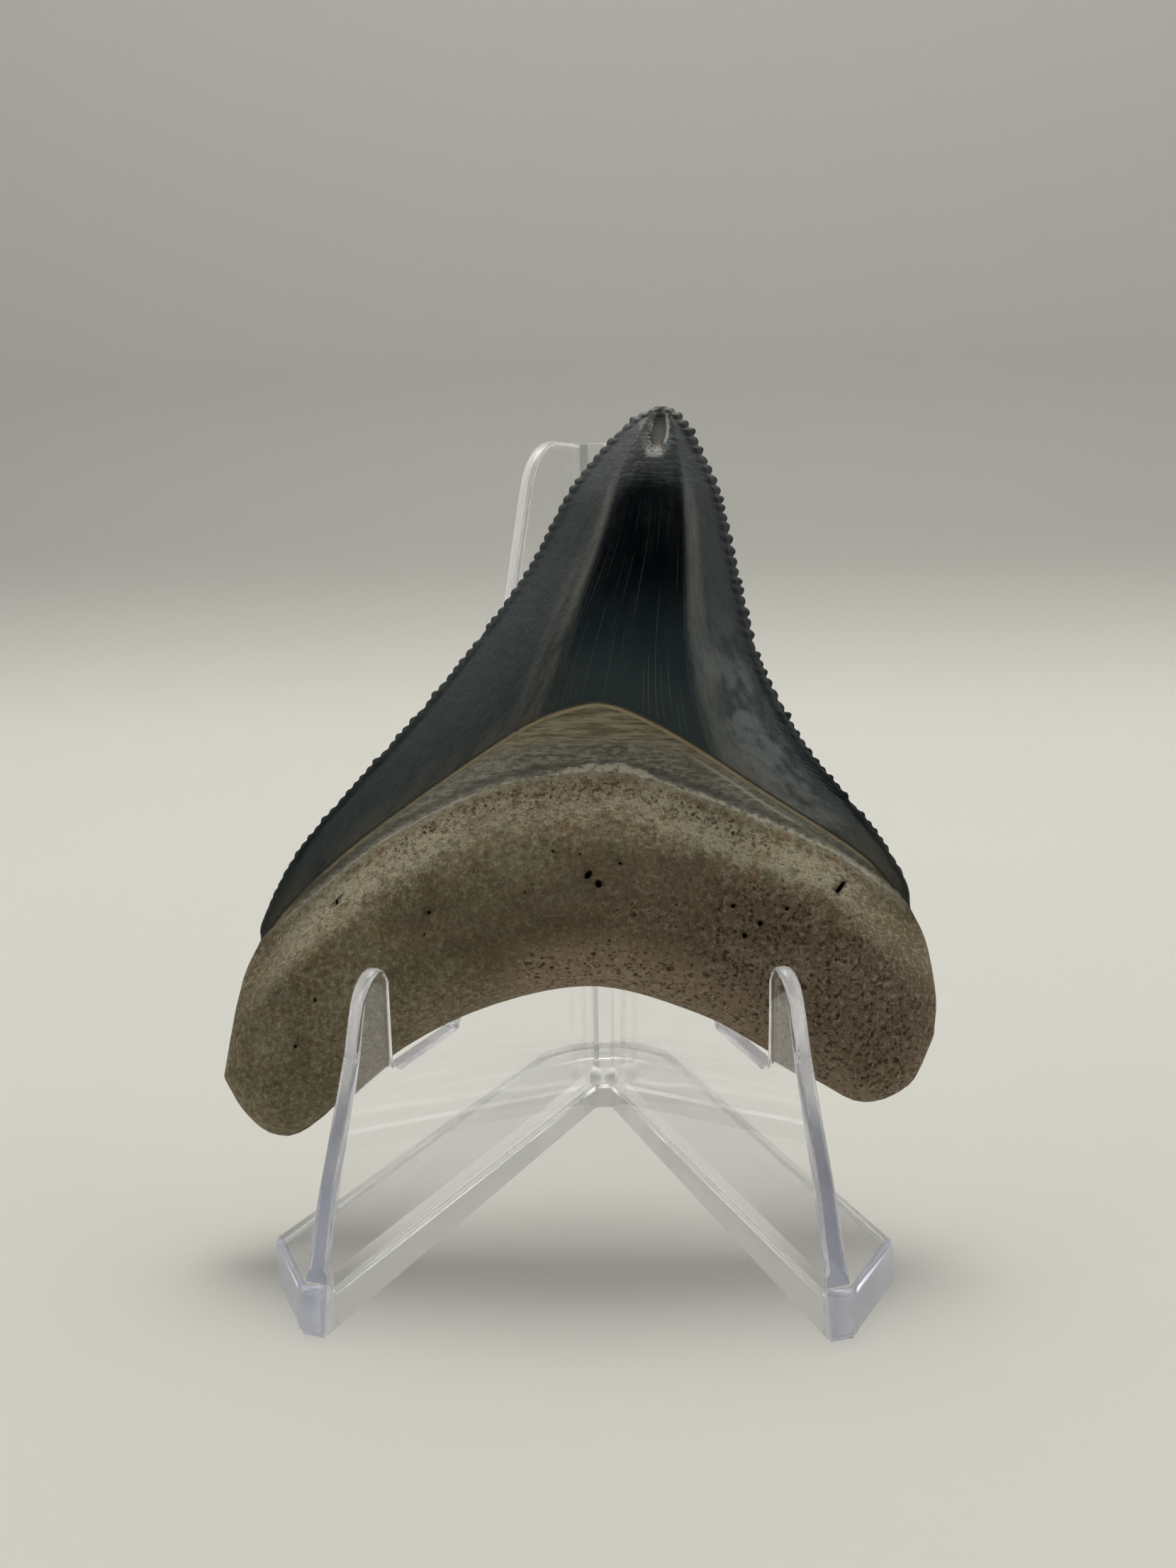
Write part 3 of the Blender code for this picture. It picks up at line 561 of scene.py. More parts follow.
def labial_face(x, s, near):
    """Depth of the flatter face behind that plane."""
    t = across(x, s)
    swell = LABIAL_SWELL * (1.0 - np.exp(-np.maximum(TIP_HEIGHT - s, 0.0) / 16.0)) ** 0.9
    crown = swell * (1.0 - np.abs(t) ** 2.2)
    below = labial_line(x) - s
    rounding = np.sqrt(1.0 - (1.0 - np.clip(near / ROOT_LABIAL_ROUND, 0.0, 1.0)) ** 2)
    root = (ROOT_LABIAL - 0.5 * np.exp(-(x / 9.0) ** 2)) * rounding
    blend = ease(below / 5.0)
    depth = crown * (1.0 - blend) + root * blend
    step = 0.2 * ease(below / 0.25) * np.exp(-np.maximum(below, 0.0) / 3.0)
    depth = depth - step * np.clip(near / 2.0, 0.0, 1.0)
    uneven = ease(below / 3.0) * np.clip(near / 3.0, 0.0, 1.0)
    return np.maximum(depth + uneven * 0.15 * wander(x, s, 6.0, 8.7), 0.0)


def crown_row(fraction, places):
    """Points across the crown, low arches near the tip and the enamel's own edge at the base."""
    left = along(left_edge, [fraction])[0]
    right = along(right_edge, [fraction])[0]
    line_x = enamel_line[0][0] + (enamel_line[-1][0] - enamel_line[0][0]) * places
    chord = enamel_line[0][1] + (enamel_line[-1][1] - enamel_line[0][1]) * places
    arch = (height_at(enamel_line, line_x) - chord) * fraction ** 1.8
    return np.stack([left[0] + (right[0] - left[0]) * places,
                     left[1] + (right[1] - left[1]) * places + arch], axis=-1)


def root_row(fraction, places):
    """Points across the root, from the enamel's edge to the outline of lobes and arch."""
    row = crown_row(1.0, places) * (1.0 - fraction) + along(bottom_line, places) * fraction
    left = along(side_left, [fraction])[0] - row[0]
    right = along(side_right, [fraction])[0] - row[-1]
    fade = places[:, None]
    return row + left * (1.0 - fade) ** 3 + right * fade ** 3


def serrations(line, fractions):
    """How far each point of a cutting edge stands out: rounded teeth with sharp notches between them."""
    count = round(line_length(line) / SERRATION_PITCH)
    drift = np.array([0.42 * noise.noise(Vector((f * 14.0, count, 0.0))) for f in fractions])
    rounded_teeth = np.abs(np.sin(math.pi * (fractions * count + drift))) ** 0.5
    uneven = np.array([1.0 + 0.8 * noise.noise(Vector((f * 37.0, 5.0, count))) for f in fractions])
    fade = ease(fractions / 0.012) * (1.0 - 0.75 * ease((fractions - 0.8) / 0.2))
    return rounded_teeth * uneven * fade


# Rows of the mesh: down the crown finely enough for its serrations, a step at the enamel's edge, then
# the root.  Columns crowd towards the cutting edges.
crown_at = np.arange(CROWN_ROWS + 1) / CROWN_ROWS
root_at = 0.012 + 0.988 * np.sin(0.5 * math.pi * np.arange(ROOT_ROWS + 1) / ROOT_ROWS)
close_in = np.array([0.0, 0.13, 0.28, 0.45, 0.65, 0.95, 1.4])
rows = []
for fraction in crown_at:
    ends = along(left_edge, [fraction])[0], along(right_edge, [fraction])[0]
    wide = float(np.hypot(*(ends[1] - ends[0])))
    reach = close_in * min(1.0, 0.2 * wide / close_in[-1])
    inner = np.linspace(reach[-1], wide - reach[-1], COLUMNS + 3 - 2 * len(close_in))
    rows.append(crown_row(fraction, np.concatenate([reach[:-1], inner, wide - reach[:-1][::-1]]) / wide))
last_crown = (rows[-1][:, 0] - rows[-1][0, 0]) / (rows[-1][-1, 0] - rows[-1][0, 0])

# Each serration pushes the edge outward and swells the strip beside it.
crown = np.array(rows)
crown_lump = np.zeros(crown.shape[:2])
evenly = np.arange(6001) / 6000
moved = np.zeros(crown.shape)
for line, side, drawn_in, strength in ((left_edge, 1.0, -0.72, 0.75), (right_edge, -1.0, -0.58, 1.0)):
    edge = along(line, crown_at)
    way = np.gradient(edge, axis=0)
    way = way / np.hypot(way[:, 0], way[:, 1])[:, None]
    out = np.stack([way[:, 1], -way[:, 0]], axis=-1) * side
    offset = crown - edge[:, None]
    lengthwise = (offset * way[:, None]).sum(axis=-1)
    distance = np.maximum(-(offset * out[:, None]).sum(axis=-1), 0.0)
    nearest = crown_at[:, None] + lengthwise / line_length(line)
    stand_out = strength * np.interp(nearest, evenly, serrations(line, evenly))
    pull = np.clip(1.0 - distance / 0.8, 0.0, 1.0) ** 2 * SERRATION_DEPTH
    fade = ease(crown_at / 0.012) * (1.0 - ease((crown_at - 0.88) / 0.12))
    moved = moved + out[:, None] * ((stand_out * 1.2 + drawn_in) * pull * fade[:, None])[..., None]
    body = np.sqrt(np.clip(1.0 - (1.0 - np.clip(distance / 0.35, 0.0, 1.0)) ** 2, 0.0, 1.0))
    strip = body * (1.0 - ease((distance - 0.35) / 0.6)) * ease(crown_at / 0.02)[:, None]
    crown_lump = crown_lump + (0.03 + 0.17 * stand_out) * strip
rows = list(crown + moved)
lump = list(crown_lump)

# The root's columns start where the crown's end and soon spread out evenly.
even_places = 0.5 - 0.5 * np.cos(math.pi * np.arange(COLUMNS + 1) / COLUMNS)
even_places = 0.35 * even_places + 0.65 * np.arange(COLUMNS + 1) / COLUMNS
for fraction in root_at:
    places = last_crown + (even_places - last_crown) * min(fraction / 0.5, 1.0)
    rows.append(root_row(fraction, places))
    lump.append(np.zeros(COLUMNS + 1))
grid = np.array(rows)
lump = np.array(lump)
near_root = to_outline(grid[..., 0], grid[..., 1])
front = lingual_face(grid[..., 0], grid[..., 1], near_root) + lump
back = labial_face(grid[..., 0], grid[..., 1], near_root) + lump
border = np.ones(front.shape, dtype=bool)
border[1:-1, 1:-1] = False
front[border] = 0.0

# Both faces share the points along the border.
row_count, column_count = front.shape
front_index = np.arange(row_count * column_count).reshape(row_count, column_count)
back_index = front_index.copy()
inside = ~border
back_index[inside] = row_count * column_count + np.arange(int(inside.sum()))
points = np.concatenate([np.stack([grid[..., 0], grid[..., 1], front], axis=-1).reshape(-1, 3),
                         np.stack([grid[..., 0], grid[..., 1], -back], axis=-1)[inside]])


def quads(index, flip):
    corners = np.stack([index[:-1, :-1], index[1:, :-1], index[1:, 1:], index[:-1, 1:]], axis=-1)
    corners = corners.reshape(-1, 4)
    return corners[:, ::-1] if flip else corners


faces = np.concatenate([quads(front_index, False), quads(back_index, True)])
mesh = bpy.data.meshes.new("serrated_tooth")
mesh.from_pydata(points.tolist(), [], faces.tolist())
mesh.update()
tooth = bpy.data.objects.new("serrated_tooth", mesh)
bpy.context.scene.collection.objects.link(tooth)

# Open pores, cut as small rounded pits.
pits = bmesh.new()
for x, s, half_wide, half_long, turn in PORES:
    spot_x, spot_s = np.array([x]), np.array([s])
    high = float(lingual_face(spot_x, spot_s, to_outline(spot_x, spot_s))[0])
    place = Matrix.Translation((x, s, high)) @ Matrix.Rotation(math.radians(turn), 4, "Z")
    shape = Matrix.Diagonal((half_wide, half_long, 1.4 * half_wide + 0.3 * half_long + 0.12, 1.0))
    bmesh.ops.create_uvsphere(pits, u_segments=16, v_segments=10, radius=1.0, matrix=place @ shape)
pit_mesh = bpy.data.meshes.new("pores")
pits.to_mesh(pit_mesh)
pits.free()
pit_tool = bpy.data.objects.new("pores", pit_mesh)
bpy.context.scene.collection.objects.link(pit_tool)
joined(tooth, pit_tool, "DIFFERENCE", "MANIFOLD")

# The cut leaves its faces in another order each time, so they are put in one fixed order.
corners = []
for face in tooth.data.polygons:
    around = list(face.vertices)
    first = around.index(min(around))
    corners.append(around[first:] + around[:first])
mesh = bpy.data.meshes.new("tooth_with_pores")
mesh.from_pydata([vert.co[:] for vert in tooth.data.vertices], [], sorted(corners))
tooth.data = mesh

# Facts about each point, in millimetres, for the material.
spots = np.empty(len(mesh.vertices) * 3)
mesh.vertices.foreach_get("co", spots)
spots = spots.reshape(-1, 3)
x, s, n = spots.T
face_front = n >= 0.0
# Distances below the two arched lines are taken square to the enamel's line.
slope = np.gradient(enamel_line[:, 1]) / np.gradient(enamel_line[:, 0])
square = np.interp(x, enamel_line[:, 0], 1.0 / np.sqrt(1.0 + slope ** 2))
left_at, right_at = crown_sides(s)
facts = {
    "below_enamel": (np.where(face_front, height_at(enamel_line, x), labial_line(x)) - s) * square,
    "below_root": (np.where(face_front, height_at(root_line, x), labial_line(x) - 0.7) - s) * square,
    "across": across(x, s),
    "from_edge": (1.0 - np.abs(across(x, s))) * 0.5 * (right_at - left_at),
    "in_pore": np.zeros(len(x)),
}
for pore_x, pore_s, half_wide, half_long, turn in PORES:
    cos_turn, sin_turn = math.cos(math.radians(turn)), math.sin(math.radians(turn))
    u = ((x - pore_x) * cos_turn + (s - pore_s) * sin_turn) / half_wide
    v = (-(x - pore_x) * sin_turn + (s - pore_s) * cos_turn) / half_long
    hole = (1.0 - ease((np.hypot(u, v) - 0.7) / 0.4)) * face_front
    facts["in_pore"] = np.maximum(facts["in_pore"], hole)
for name, values in facts.items():
    layer = mesh.attributes.new(name, "FLOAT", "POINT")
    layer.data.foreach_set("value", values.astype(np.float32))
layer = mesh.attributes.new("place_mm", "FLOAT_VECTOR", "POINT")
layer.data.foreach_set("vector", spots.astype(np.float32).ravel())

# Lean the tooth back and set it on its seats.
up = Vector((0.0, math.sin(LEAN), math.cos(LEAN)))
out = Vector((0.0, -math.cos(LEAN), math.sin(LEAN)))
start = Vector((0.0, SEAT_LINE, SEAT_HEIGHT)) + out * EDGE_PLANE_OFFSET
lean_back = Matrix(((1.0, up.x, out.x), (0.0, up.y, out.y), (0.0, up.z, out.z))).to_4x4()
mesh.transform(Matrix.Translation(apex + start * MM) @ lean_back @ Matrix.Scale(MM, 4))
for face in mesh.polygons:
    face.use_smooth = True

fossil, wire = start_material("fossil_enamel_and_root")


def fact(name, output=2):
    return wire.node("ShaderNodeAttribute", {"attribute_name": name}, output=output)


place = fact("place_mm", 1)


def grain(scale, detail=3.0, roughness=0.55, stretch=(1.0, 1.0, 1.0)):
    """Noise in the tooth's own millimetres; stretch below 1 draws it out along that axis."""
    spot = wire.node("ShaderNodeMapping", None, {"Vector": place, "Scale": stretch})
    return wire.node("ShaderNodeTexNoise", None, {
        "Vector": spot, "Scale": scale, "Detail": detail, "Roughness": roughness})


below_enamel = fact("below_enamel")
below_root = fact("below_root")
across_crown = fact("across")
from_edge = fact("from_edge")
in_pore = fact("in_pore")
place_x, place_s, place_n = place.part(0), place.part(1), place.part(2)


def streak(wide, long, detail=3.0, seed=0.0):
    """Noise drawn out along the crown in lines that close in on the tip."""
    spot = wire.node("ShaderNodeCombineXYZ", None, {"X": across_crown * wide, "Y": place_s * long, "Z": seed})
    return wire.node("ShaderNodeTexNoise", None, {
        "Vector": spot, "Scale": 1.0, "Detail": detail, "Roughness": 0.6})


def ridge(value, middle, half, soft):
    """1 within half of a value, falling to 0 over soft."""
    return 1.0 - (value - middle).size().between(half, half + soft)


# Enamel: mottled slate, paler along the left edge and darker high up on the right.
front_face = place_n.between(-0.3, 0.0)
lines = streak(9.0, 0.09, 5.0)
mottle = grain(0.55, 5.0, 0.7, (1.0, 0.6, 1.0))
t_line = across_crown + (streak(2.5, 0.06, 2.0, 4.0) - 0.5) * 0.07
slate = lines.between(0.3, 0.7).blend((0.009, 0.017, 0.015), (0.020, 0.030, 0.027))
slate = (mottle.between(0.42, 0.62) * 0.6).blend(slate, (0.028, 0.034, 0.030))
slate = (mottle.between(0.49, 0.36) * 0.7).blend(slate, (0.007, 0.016, 0.016))
slate = (t_line.between(-0.5, -0.9) * 0.4).blend(slate, (0.030, 0.044, 0.043))
slate = (t_line.between(0.62, 0.8) * place_s.between(28.0, 38.0) * 0.55).blend(slate, (0.010, 0.014, 0.012))

# Nearly black up the middle of the front, bluish lower down: partly the enamel's own dark tone, partly a
# painted reflection of the dim room over the camera.
left_line = t_line - 0.10 * (1.0 - place_s.between(31.0, 44.0))
dark_middle = left_line.between(-0.42, -0.24) * (1.0 - t_line.between(0.47, 0.66)) * front_face
dark_top = place_s + (mottle - 0.5) * 4.0 + (t_line - 0.1) * (t_line - 0.1) * 10.0
dark_middle = dark_middle * (1.0 - dark_top.between(49.6, 53.8))
deep = below_enamel.between(-7.0, -2.0).blend((0.024, 0.038, 0.041), (0.046, 0.062, 0.062))
deep = place_s.between(33.0, 43.0).blend(deep, (0.0004, 0.0018, 0.0030))
enamel_colour = dark_middle.blend(slate, deep)

# A brown-grey band of fine strands beside it on each side, and a pale smudge on the right flank.
strands = streak(14.0, 0.16, 5.0, 7.0).between(0.36, 0.60)
second_band = 0.45 * ridge(left_line, -0.48, 0.01, 0.07) * (1.0 - place_s.between(40.0, 48.0))
band_left = (ridge(left_line, -0.37, 0.004, 0.08) + second_band) * (0.25 + 0.75 * strands)
band_right = ridge(t_line, 0.60, 0.006, 0.09) * (0.35 + 0.65 * strands)
bands = (band_left + band_right) * front_face * (1.0 - place_s.between(50.0, 55.0))
enamel_colour = (bands * 0.68).blend(enamel_colour, (0.160, 0.157, 0.130))
smudge = t_line.between(0.55, 0.66) * (1.0 - t_line.between(0.84, 0.95)) * (1.0 - place_s.between(28.0, 42.0))
smudge = smudge * streak(6.0, 0.22, 4.0, 9.0).between(0.42, 0.58) * front_face
enamel_colour = (smudge * 0.75).blend(enamel_colour, (0.165, 0.175, 0.165))

# Fine pale cracks up the crown: one to a cell across it, each at its own place and seen here and there.
cell = across_crown * 27.0 + (streak(1.2, 0.08, 1.0, 2.0) - 0.5) * 0.9
number = cell.floor()
chance = wire.node("ShaderNodeTexWhiteNoise", {"noise_dimensions": "1D"}, {"W": number})
crack = ridge(cell - number - 0.1, 0.8 * chance, 0.010, 0.050)
spot = wire.node("ShaderNodeCombineXYZ", None, {"X": number * 7.31, "Y": place_s * 0.09, "Z": 3.0})
seen = wire.node("ShaderNodeTexNoise", None, {"Vector": spot, "Scale": 1.0, "Detail": 1.0})
crack = crack * (seen + 0.10 * (1.0 - place_s.between(30.0, 36.0))).between(0.50, 0.68)
crack = crack * front_face * (1.0 - place_s.between(40.0, 52.0)) * (1.0 - below_enamel.between(-0.8, -0.1))
crack = crack * (0.2 + 0.8 * left_line.between(-0.42, -0.28) * (1.0 - t_line.between(0.50, 0.58)))
enamel_colour = (crack * 0.42).blend(enamel_colour, (0.16, 0.21, 0.20))

# Pale cross ripples under the tip, a brown stain above the enamel's lower edge, darker cutting edges:
# partly their own colour, partly painted shade among the serrations.
ripples = grain(1.0, 3.0, 0.6, (0.35, 4.0, 1.0)).between(0.50, 0.66)
ripples = ripples * place_s.between(50.0, 52.0) * front_face
enamel_colour = (ripples * 0.5).blend(enamel_colour, (0.10, 0.115, 0.105))
stain = below_enamel.between(-2.6, -0.2) * (1.0 - dark_middle) * lines.between(0.3, 0.6)
enamel_colour = (stain * 0.5).blend(enamel_colour, (0.110, 0.092, 0.060))
# Painted shade, in part: the cutting edges and the strip beside them are darkened.
margin = 0.3 + 0.5 * across_crown.between(-0.2, 0.2)
enamel_colour = ((1.0 - from_edge.between(0.1, 0.8)) * margin).blend(enamel_colour, (0.012, 0.015, 0.015))

# Dull band: a dark line and a tan line under the enamel, brown, then mottled grey-green over a pale line.
jitter = (grain(1.6, 3.0) - 0.5) * 0.7
fibres = grain(1.0, 5.0, 0.72, (0.28, 2.6, 1.0))
is_band = below_enamel.between(-0.05, 0.05)
is_root = (below_root + jitter * 0.5).between(-0.10, 0.12)
band_colour = fibres.between(0.38, 0.62).blend((0.172, 0.138, 0.077), (0.405, 0.356, 0.228))
mottled = grain(1.7, 5.0, 0.75, (0.6, 1.7, 1.0)).between(0.38, 0.62)
mottled = mottled.blend((0.112, 0.107, 0.077), (0.325, 0.305, 0.232))
band_colour = (below_root + (fibres - 0.5) * 2.6).between(-3.4, -2.1).blend(band_colour, mottled)
band_colour = (place_x.between(4.0, 12.0) * 0.30).blend(band_colour, (0.090, 0.086, 0.060))
band_colour = (place_x.between(-4.0, -12.0) * 0.25).blend(band_colour, (0.330, 0.310, 0.240))
right_line = ridge(below_enamel + jitter * 0.15, 1.15, 0.06, 0.16) * place_x.between(7.0, 12.0)
band_colour = (right_line * 0.7).blend(band_colour, (0.42, 0.38, 0.27))
tan_line = ridge(below_enamel + jitter * 0.12, 0.30, 0.08, 0.15)
tan_line = tan_line * (0.35 + 0.65 * grain(0.5, 2.0).between(0.3, 0.5))
band_colour = (tan_line * 0.9).blend(band_colour, (0.52, 0.42, 0.26))
band_colour = (ridge(below_enamel, 0.02, 0.06, 0.08) * 0.75).blend(band_colour, (0.030, 0.022, 0.013))
band_colour = (ridge(below_root + jitter, -0.75, 0.10, 0.3) * 0.55).blend(band_colour, (0.055, 0.050, 0.034))
pale_wide = 0.12 + 0.62 * ridge(place_x, 2.5, 1.5, 4.0) + 0.18 * place_x.between(5.0, 12.0)
pale_line = (below_root + jitter * 0.9 + pale_wide).between(-0.15, 0.12)
pale_line = pale_line * grain(1.1, 4.0, 0.7).between(0.34, 0.54)
band_colour = (pale_line * 0.9).blend(band_colour, (0.58, 0.54, 0.42))

# Root: woolly olive-tan bone with a darker middle.
patches = grain(0.13, 4.0, 0.6)
blotches = grain(0.45, 4.0, 0.65)
fine = grain(1.9, 5.0, 0.78)
finer = grain(4.2, 3.0, 0.7)
wool = grain(1.0, 4.0, 0.7, (2.6, 0.5, 1.0))
root_colour = patches.between(0.36, 0.64).blend((0.300, 0.240, 0.130), (0.430, 0.360, 0.215))
root_colour = (wool.between(0.35, 0.65) * 0.35).blend(root_colour, (0.260, 0.205, 0.110))
middle_zone = (place_s - 10.6 + place_x * place_x * 0.006 + 1.8 * place_x.between(0.0, -10.0)) / 4.9
middle_zone = (place_x - 3.0) * (place_x - 3.0) / 460.0 + middle_zone * middle_zone
middle_zone = 1.0 - (middle_zone + (patches - 0.5) * 2.0).between(0.2, 1.5)
root_colour = (middle_zone * 0.74).blend(root_colour, (0.172, 0.122, 0.060))

# Under the pale line a rusty, pitted shelf; under that a paler, granular swelling with rust in it.
shelf = below_root.between(0.2, 0.9) * (1.0 - (below_root + (blotches - 0.5) * 4.0).between(1.6, 3.6))
shelf = shelf * (1.0 - place_x.size().between(14.0, 24.0))
root_colour = (shelf * 0.80).blend(root_colour, (0.370, 0.262, 0.132))
granular = ridge(below_root + (blotches - 0.5) * 2.4, 2.4, 0.8, 1.6)
granular = granular * (1.0 - (place_x + 1.5).size().between(23.5, 28.5))
granular = granular * (0.42 + 0.50 * (place_x + 3.0).size().between(5.0, 11.0))
root_colour = (granular * 0.92).blend(root_colour, (0.710, 0.640, 0.445))
rust = grain(0.30, 4.0, 0.65, (1.0, 1.5, 1.0)).between(0.52, 0.66) * (1.0 - below_root.between(6.0, 15.0))
root_colour = (rust * 0.6).blend(root_colour, (0.370, 0.220, 0.085))

# Redder low down towards the right, darker at both far ends.
reddish = place_x * 0.16 - place_s + 8.0 + (patches - 0.5) * 8.0 - place_x * place_x * 0.004
reddish = reddish.between(-1.0, 4.0) * place_x.between(-16.0, -4.0)
root_colour = (reddish * 0.7).blend(root_colour, (0.330, 0.230, 0.147))
far_out = place_x.size().between(19.0, 28.0) * (1.0 - below_root.between(5.0, 9.0))
root_colour = (far_out * 0.24).blend(root_colour, (0.120, 0.092, 0.052))

# Pale and dark grains of several sizes, fainter in the middle; a slightly darker part right of the
# middle; a pale lip along the top.
pale_grains = fine.between(0.50, 0.62) * (0.58 - 0.34 * middle_zone)
dark_grains = fine.between(0.49, 0.38) * (0.62 - 0.30 * middle_zone)
root_colour = pale_grains.blend(root_colour, (0.660, 0.585, 0.405))
root_colour = dark_grains.blend(root_colour, (0.110, 0.078, 0.040))
root_colour = (finer.between(0.52, 0.38) * 0.35).blend(root_colour, (0.090, 0.066, 0.036))
right_middle = place_x.between(6.0, 14.0) * below_root.between(3.0, 6.0)
root_colour = (right_middle * 0.16).blend(root_colour, (0.100, 0.076, 0.040))
grains = grain(1.15, 3.0, 0.65)
grainy = 0.30 + 0.70 * (1.0 - below_root.between(4.0, 7.0)) * (1.0 - place_x.size().between(22.0, 28.0))
root_colour = (grains.between(0.50, 0.36) * grainy * 0.50).blend(root_colour, (0.140, 0.100, 0.052))
root_colour = (grains.between(0.54, 0.68) * grainy * 0.50).blend(root_colour, (0.660, 0.580, 0.400))
lip = (1.0 - (below_root + jitter).between(0.1, 0.7)) * grain(1.8).between(0.3, 0.55)
root_colour = (lip * 0.6).blend(root_colour, (0.48, 0.44, 0.32))

# Spongy bone on the right lobe and over the arch: dark pits that run together, reddish between them.
sponge_zone = (place_x - place_s * 0.9 + (patches - 0.5) * 26.0).between(-12.0, 6.0)
sponge_zone = sponge_zone * below_root.between(1.5, 6.5)
over_arch = place_s - ARCH_S + (place_x - ARCH_X) * (place_x - ARCH_X) * 0.0215
arch_rim = (1.0 - over_arch.between(2.2, 5.2)) * place_x.between(-9.0, -4.0)
sponge_zone = sponge_zone.larger(shelf.larger(arch_rim))
warp = wire.node("ShaderNodeTexNoise", None, {"Vector": place, "Scale": 1.7, "Detail": 2.0}, 1)
pore_spot = place.vector("ADD", warp.vector("SCALE", 0.5))


def pores(scale, share, reach):
    """Scattered dark pits; share says how many of the cells have one and reach how large they get."""
    holes = {"Vector": pore_spot, "Scale": scale}
    distance = wire.node("ShaderNodeTexVoronoi", None, holes)
    luck = wire.node("ShaderNodeSeparateColor", None, {0: wire.node("ShaderNodeTexVoronoi", None, holes, 1)})
    return 1.0 - (distance - (luck + share - 1.0) * reach).between(-0.07, 0.05)


sponge = wire.node("ShaderNodeTexNoise", None, {
    "Vector": pore_spot, "Scale": 2.3, "Detail": 2.0, "Roughness": 0.6})
between_pits = sponge.between(0.50, 0.40) * sponge_zone * (0.36 - 0.32 * shelf)
root_colour = between_pits.blend(root_colour, (0.440, 0.265, 0.165))
root_colour = (arch_rim * 0.40).blend(root_colour, (0.560, 0.410, 0.285))
root_colour = (fine.between(0.53, 0.64) * sponge_zone * 0.45).blend(root_colour, (0.600, 0.500, 0.350))
sponge_pits = (sponge + 0.06 * sponge_zone).between(0.62, 0.70) * sponge_zone
small_pores = pores(1.35, 0.02 + 0.70 * sponge_zone, 0.46)
tiny_pores = pores(2.7, 0.08 + 0.62 * sponge_zone, 0.42)
all_pits = (small_pores * 0.95).larger(tiny_pores * 0.75).larger(sponge_pits * 0.8)
root_colour = (all_pits * 0.95).blend(root_colour, (0.055, 0.032, 0.019))
root_colour = in_pore.blend(root_colour, (0.016, 0.009, 0.004))

colour = is_band.blend(enamel_colour, band_colour)
colour = is_root.blend(colour, root_colour)

# Worn tip: a reddish-brown hollow and a whitish patch under it; the bright lines along the hollow's rims
# and across the top are painted highlights.
tip_x = (place_x - HOLLOW_X - (place_s - HOLLOW_S) * HOLLOW_SLANT) / 0.74
tip_s = (place_s - HOLLOW_S) / 2.0
tip_ring = (tip_x * tip_x + tip_s * tip_s) ** 0.5 + (grain(1.8, 3.0) - 0.5) * 0.4
tip_front = place_n.between(0.1, 0.2)
flecks = grain(1.6, 5.0, 0.75)
right_glint = ridge(tip_ring, 1.12, 0.10, 0.22) * tip_x.between(0.45, 0.95) * tip_s.between(-0.9, -0.5)
left_glint = ridge(tip_ring, 1.25, 0.16, 0.25) * tip_x.between(-0.6, -0.95) * flecks.between(0.46, 0.60) * 0.8
patch = (1.0 - (place_x - 6.95).size().between(0.5, 1.1)) * ridge(place_s, 54.7, 0.35, 0.7)
patch = patch * flecks.between(0.40, 0.56)
top_glint = ridge(place_s, 59.5, 0.2, 0.4) * flecks.between(0.42, 0.6) * 0.5
# Painted highlights on the rims and the top, together with the whitish patch.
glint = right_glint.larger(left_glint).larger(patch.larger(top_glint)) * tip_front
colour = (glint * 0.8).blend(colour, (0.50, 0.51, 0.47))
hollow = (1.0 - tip_ring.between(0.6, 1.0)) * tip_front
hollow_colour = tip_s.between(0.0, -0.5).blend((0.150, 0.155, 0.145), (0.185, 0.125, 0.095))
colour = (hollow * 0.85).blend(colour, hollow_colour)

# Smooth enamel, smoothest up its dark middle; a duller band, worn tip and dry root.  Relief is in
# millimetres.
worn = (1.0 - tip_ring.between(1.2, 1.7)) * tip_front
rough = 0.30 + 0.14 * lines.between(0.3, 0.8) + 0.10 * mottle.between(0.4, 0.7)
rough = rough - 0.14 * dark_middle + 0.30 * worn
rough = rough + is_band * (0.42 - rough)
rough = rough + is_root * (0.62 + 0.25 * fine - rough)
gloss = (0.09 - 0.06 * dark_middle) * (1.0 - is_band) * (1.0 - worn)
root_relief = (fine - 0.5) * 0.50 + (finer - 0.5) * 0.16 + (blotches - 0.5) * 0.5
root_relief = root_relief + (grains - 0.5) * grainy * 0.4
relief = root_relief * is_root
relief = relief - (small_pores * 0.20 + tiny_pores * 0.10 + sponge_pits * 0.12) * is_root
relief = relief + ((fibres - 0.5) * 0.16 + tan_line * 0.08) * is_band * (1.0 - is_root)
enamel_relief = (lines - 0.5) * 0.04 + (mottle - 0.5) * 0.16 * (1.0 - 0.7 * dark_middle) - crack * 0.03
relief = relief + enamel_relief * (1.0 - is_band)
bumped = wire.node("ShaderNodeBump", None, {"Height": relief, "Strength": 1.0, "Distance": MM})
wire.node("ShaderNodeBsdfPrincipled", None, {
    "Base Color": colour, "Roughness": rough, "IOR": 1.40, "Coat Weight": gloss, "Coat Roughness": 0.15,
    "Normal": bumped}).surface()
tooth.data.materials.append(fossil)
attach(tooth, "root")
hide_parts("tooth")

# ---------------------------------------------------------------------------------------------
# Table top and the sweep behind it: one sheet of matt off-white card, laid flat under the easel and
# bent up far behind it.

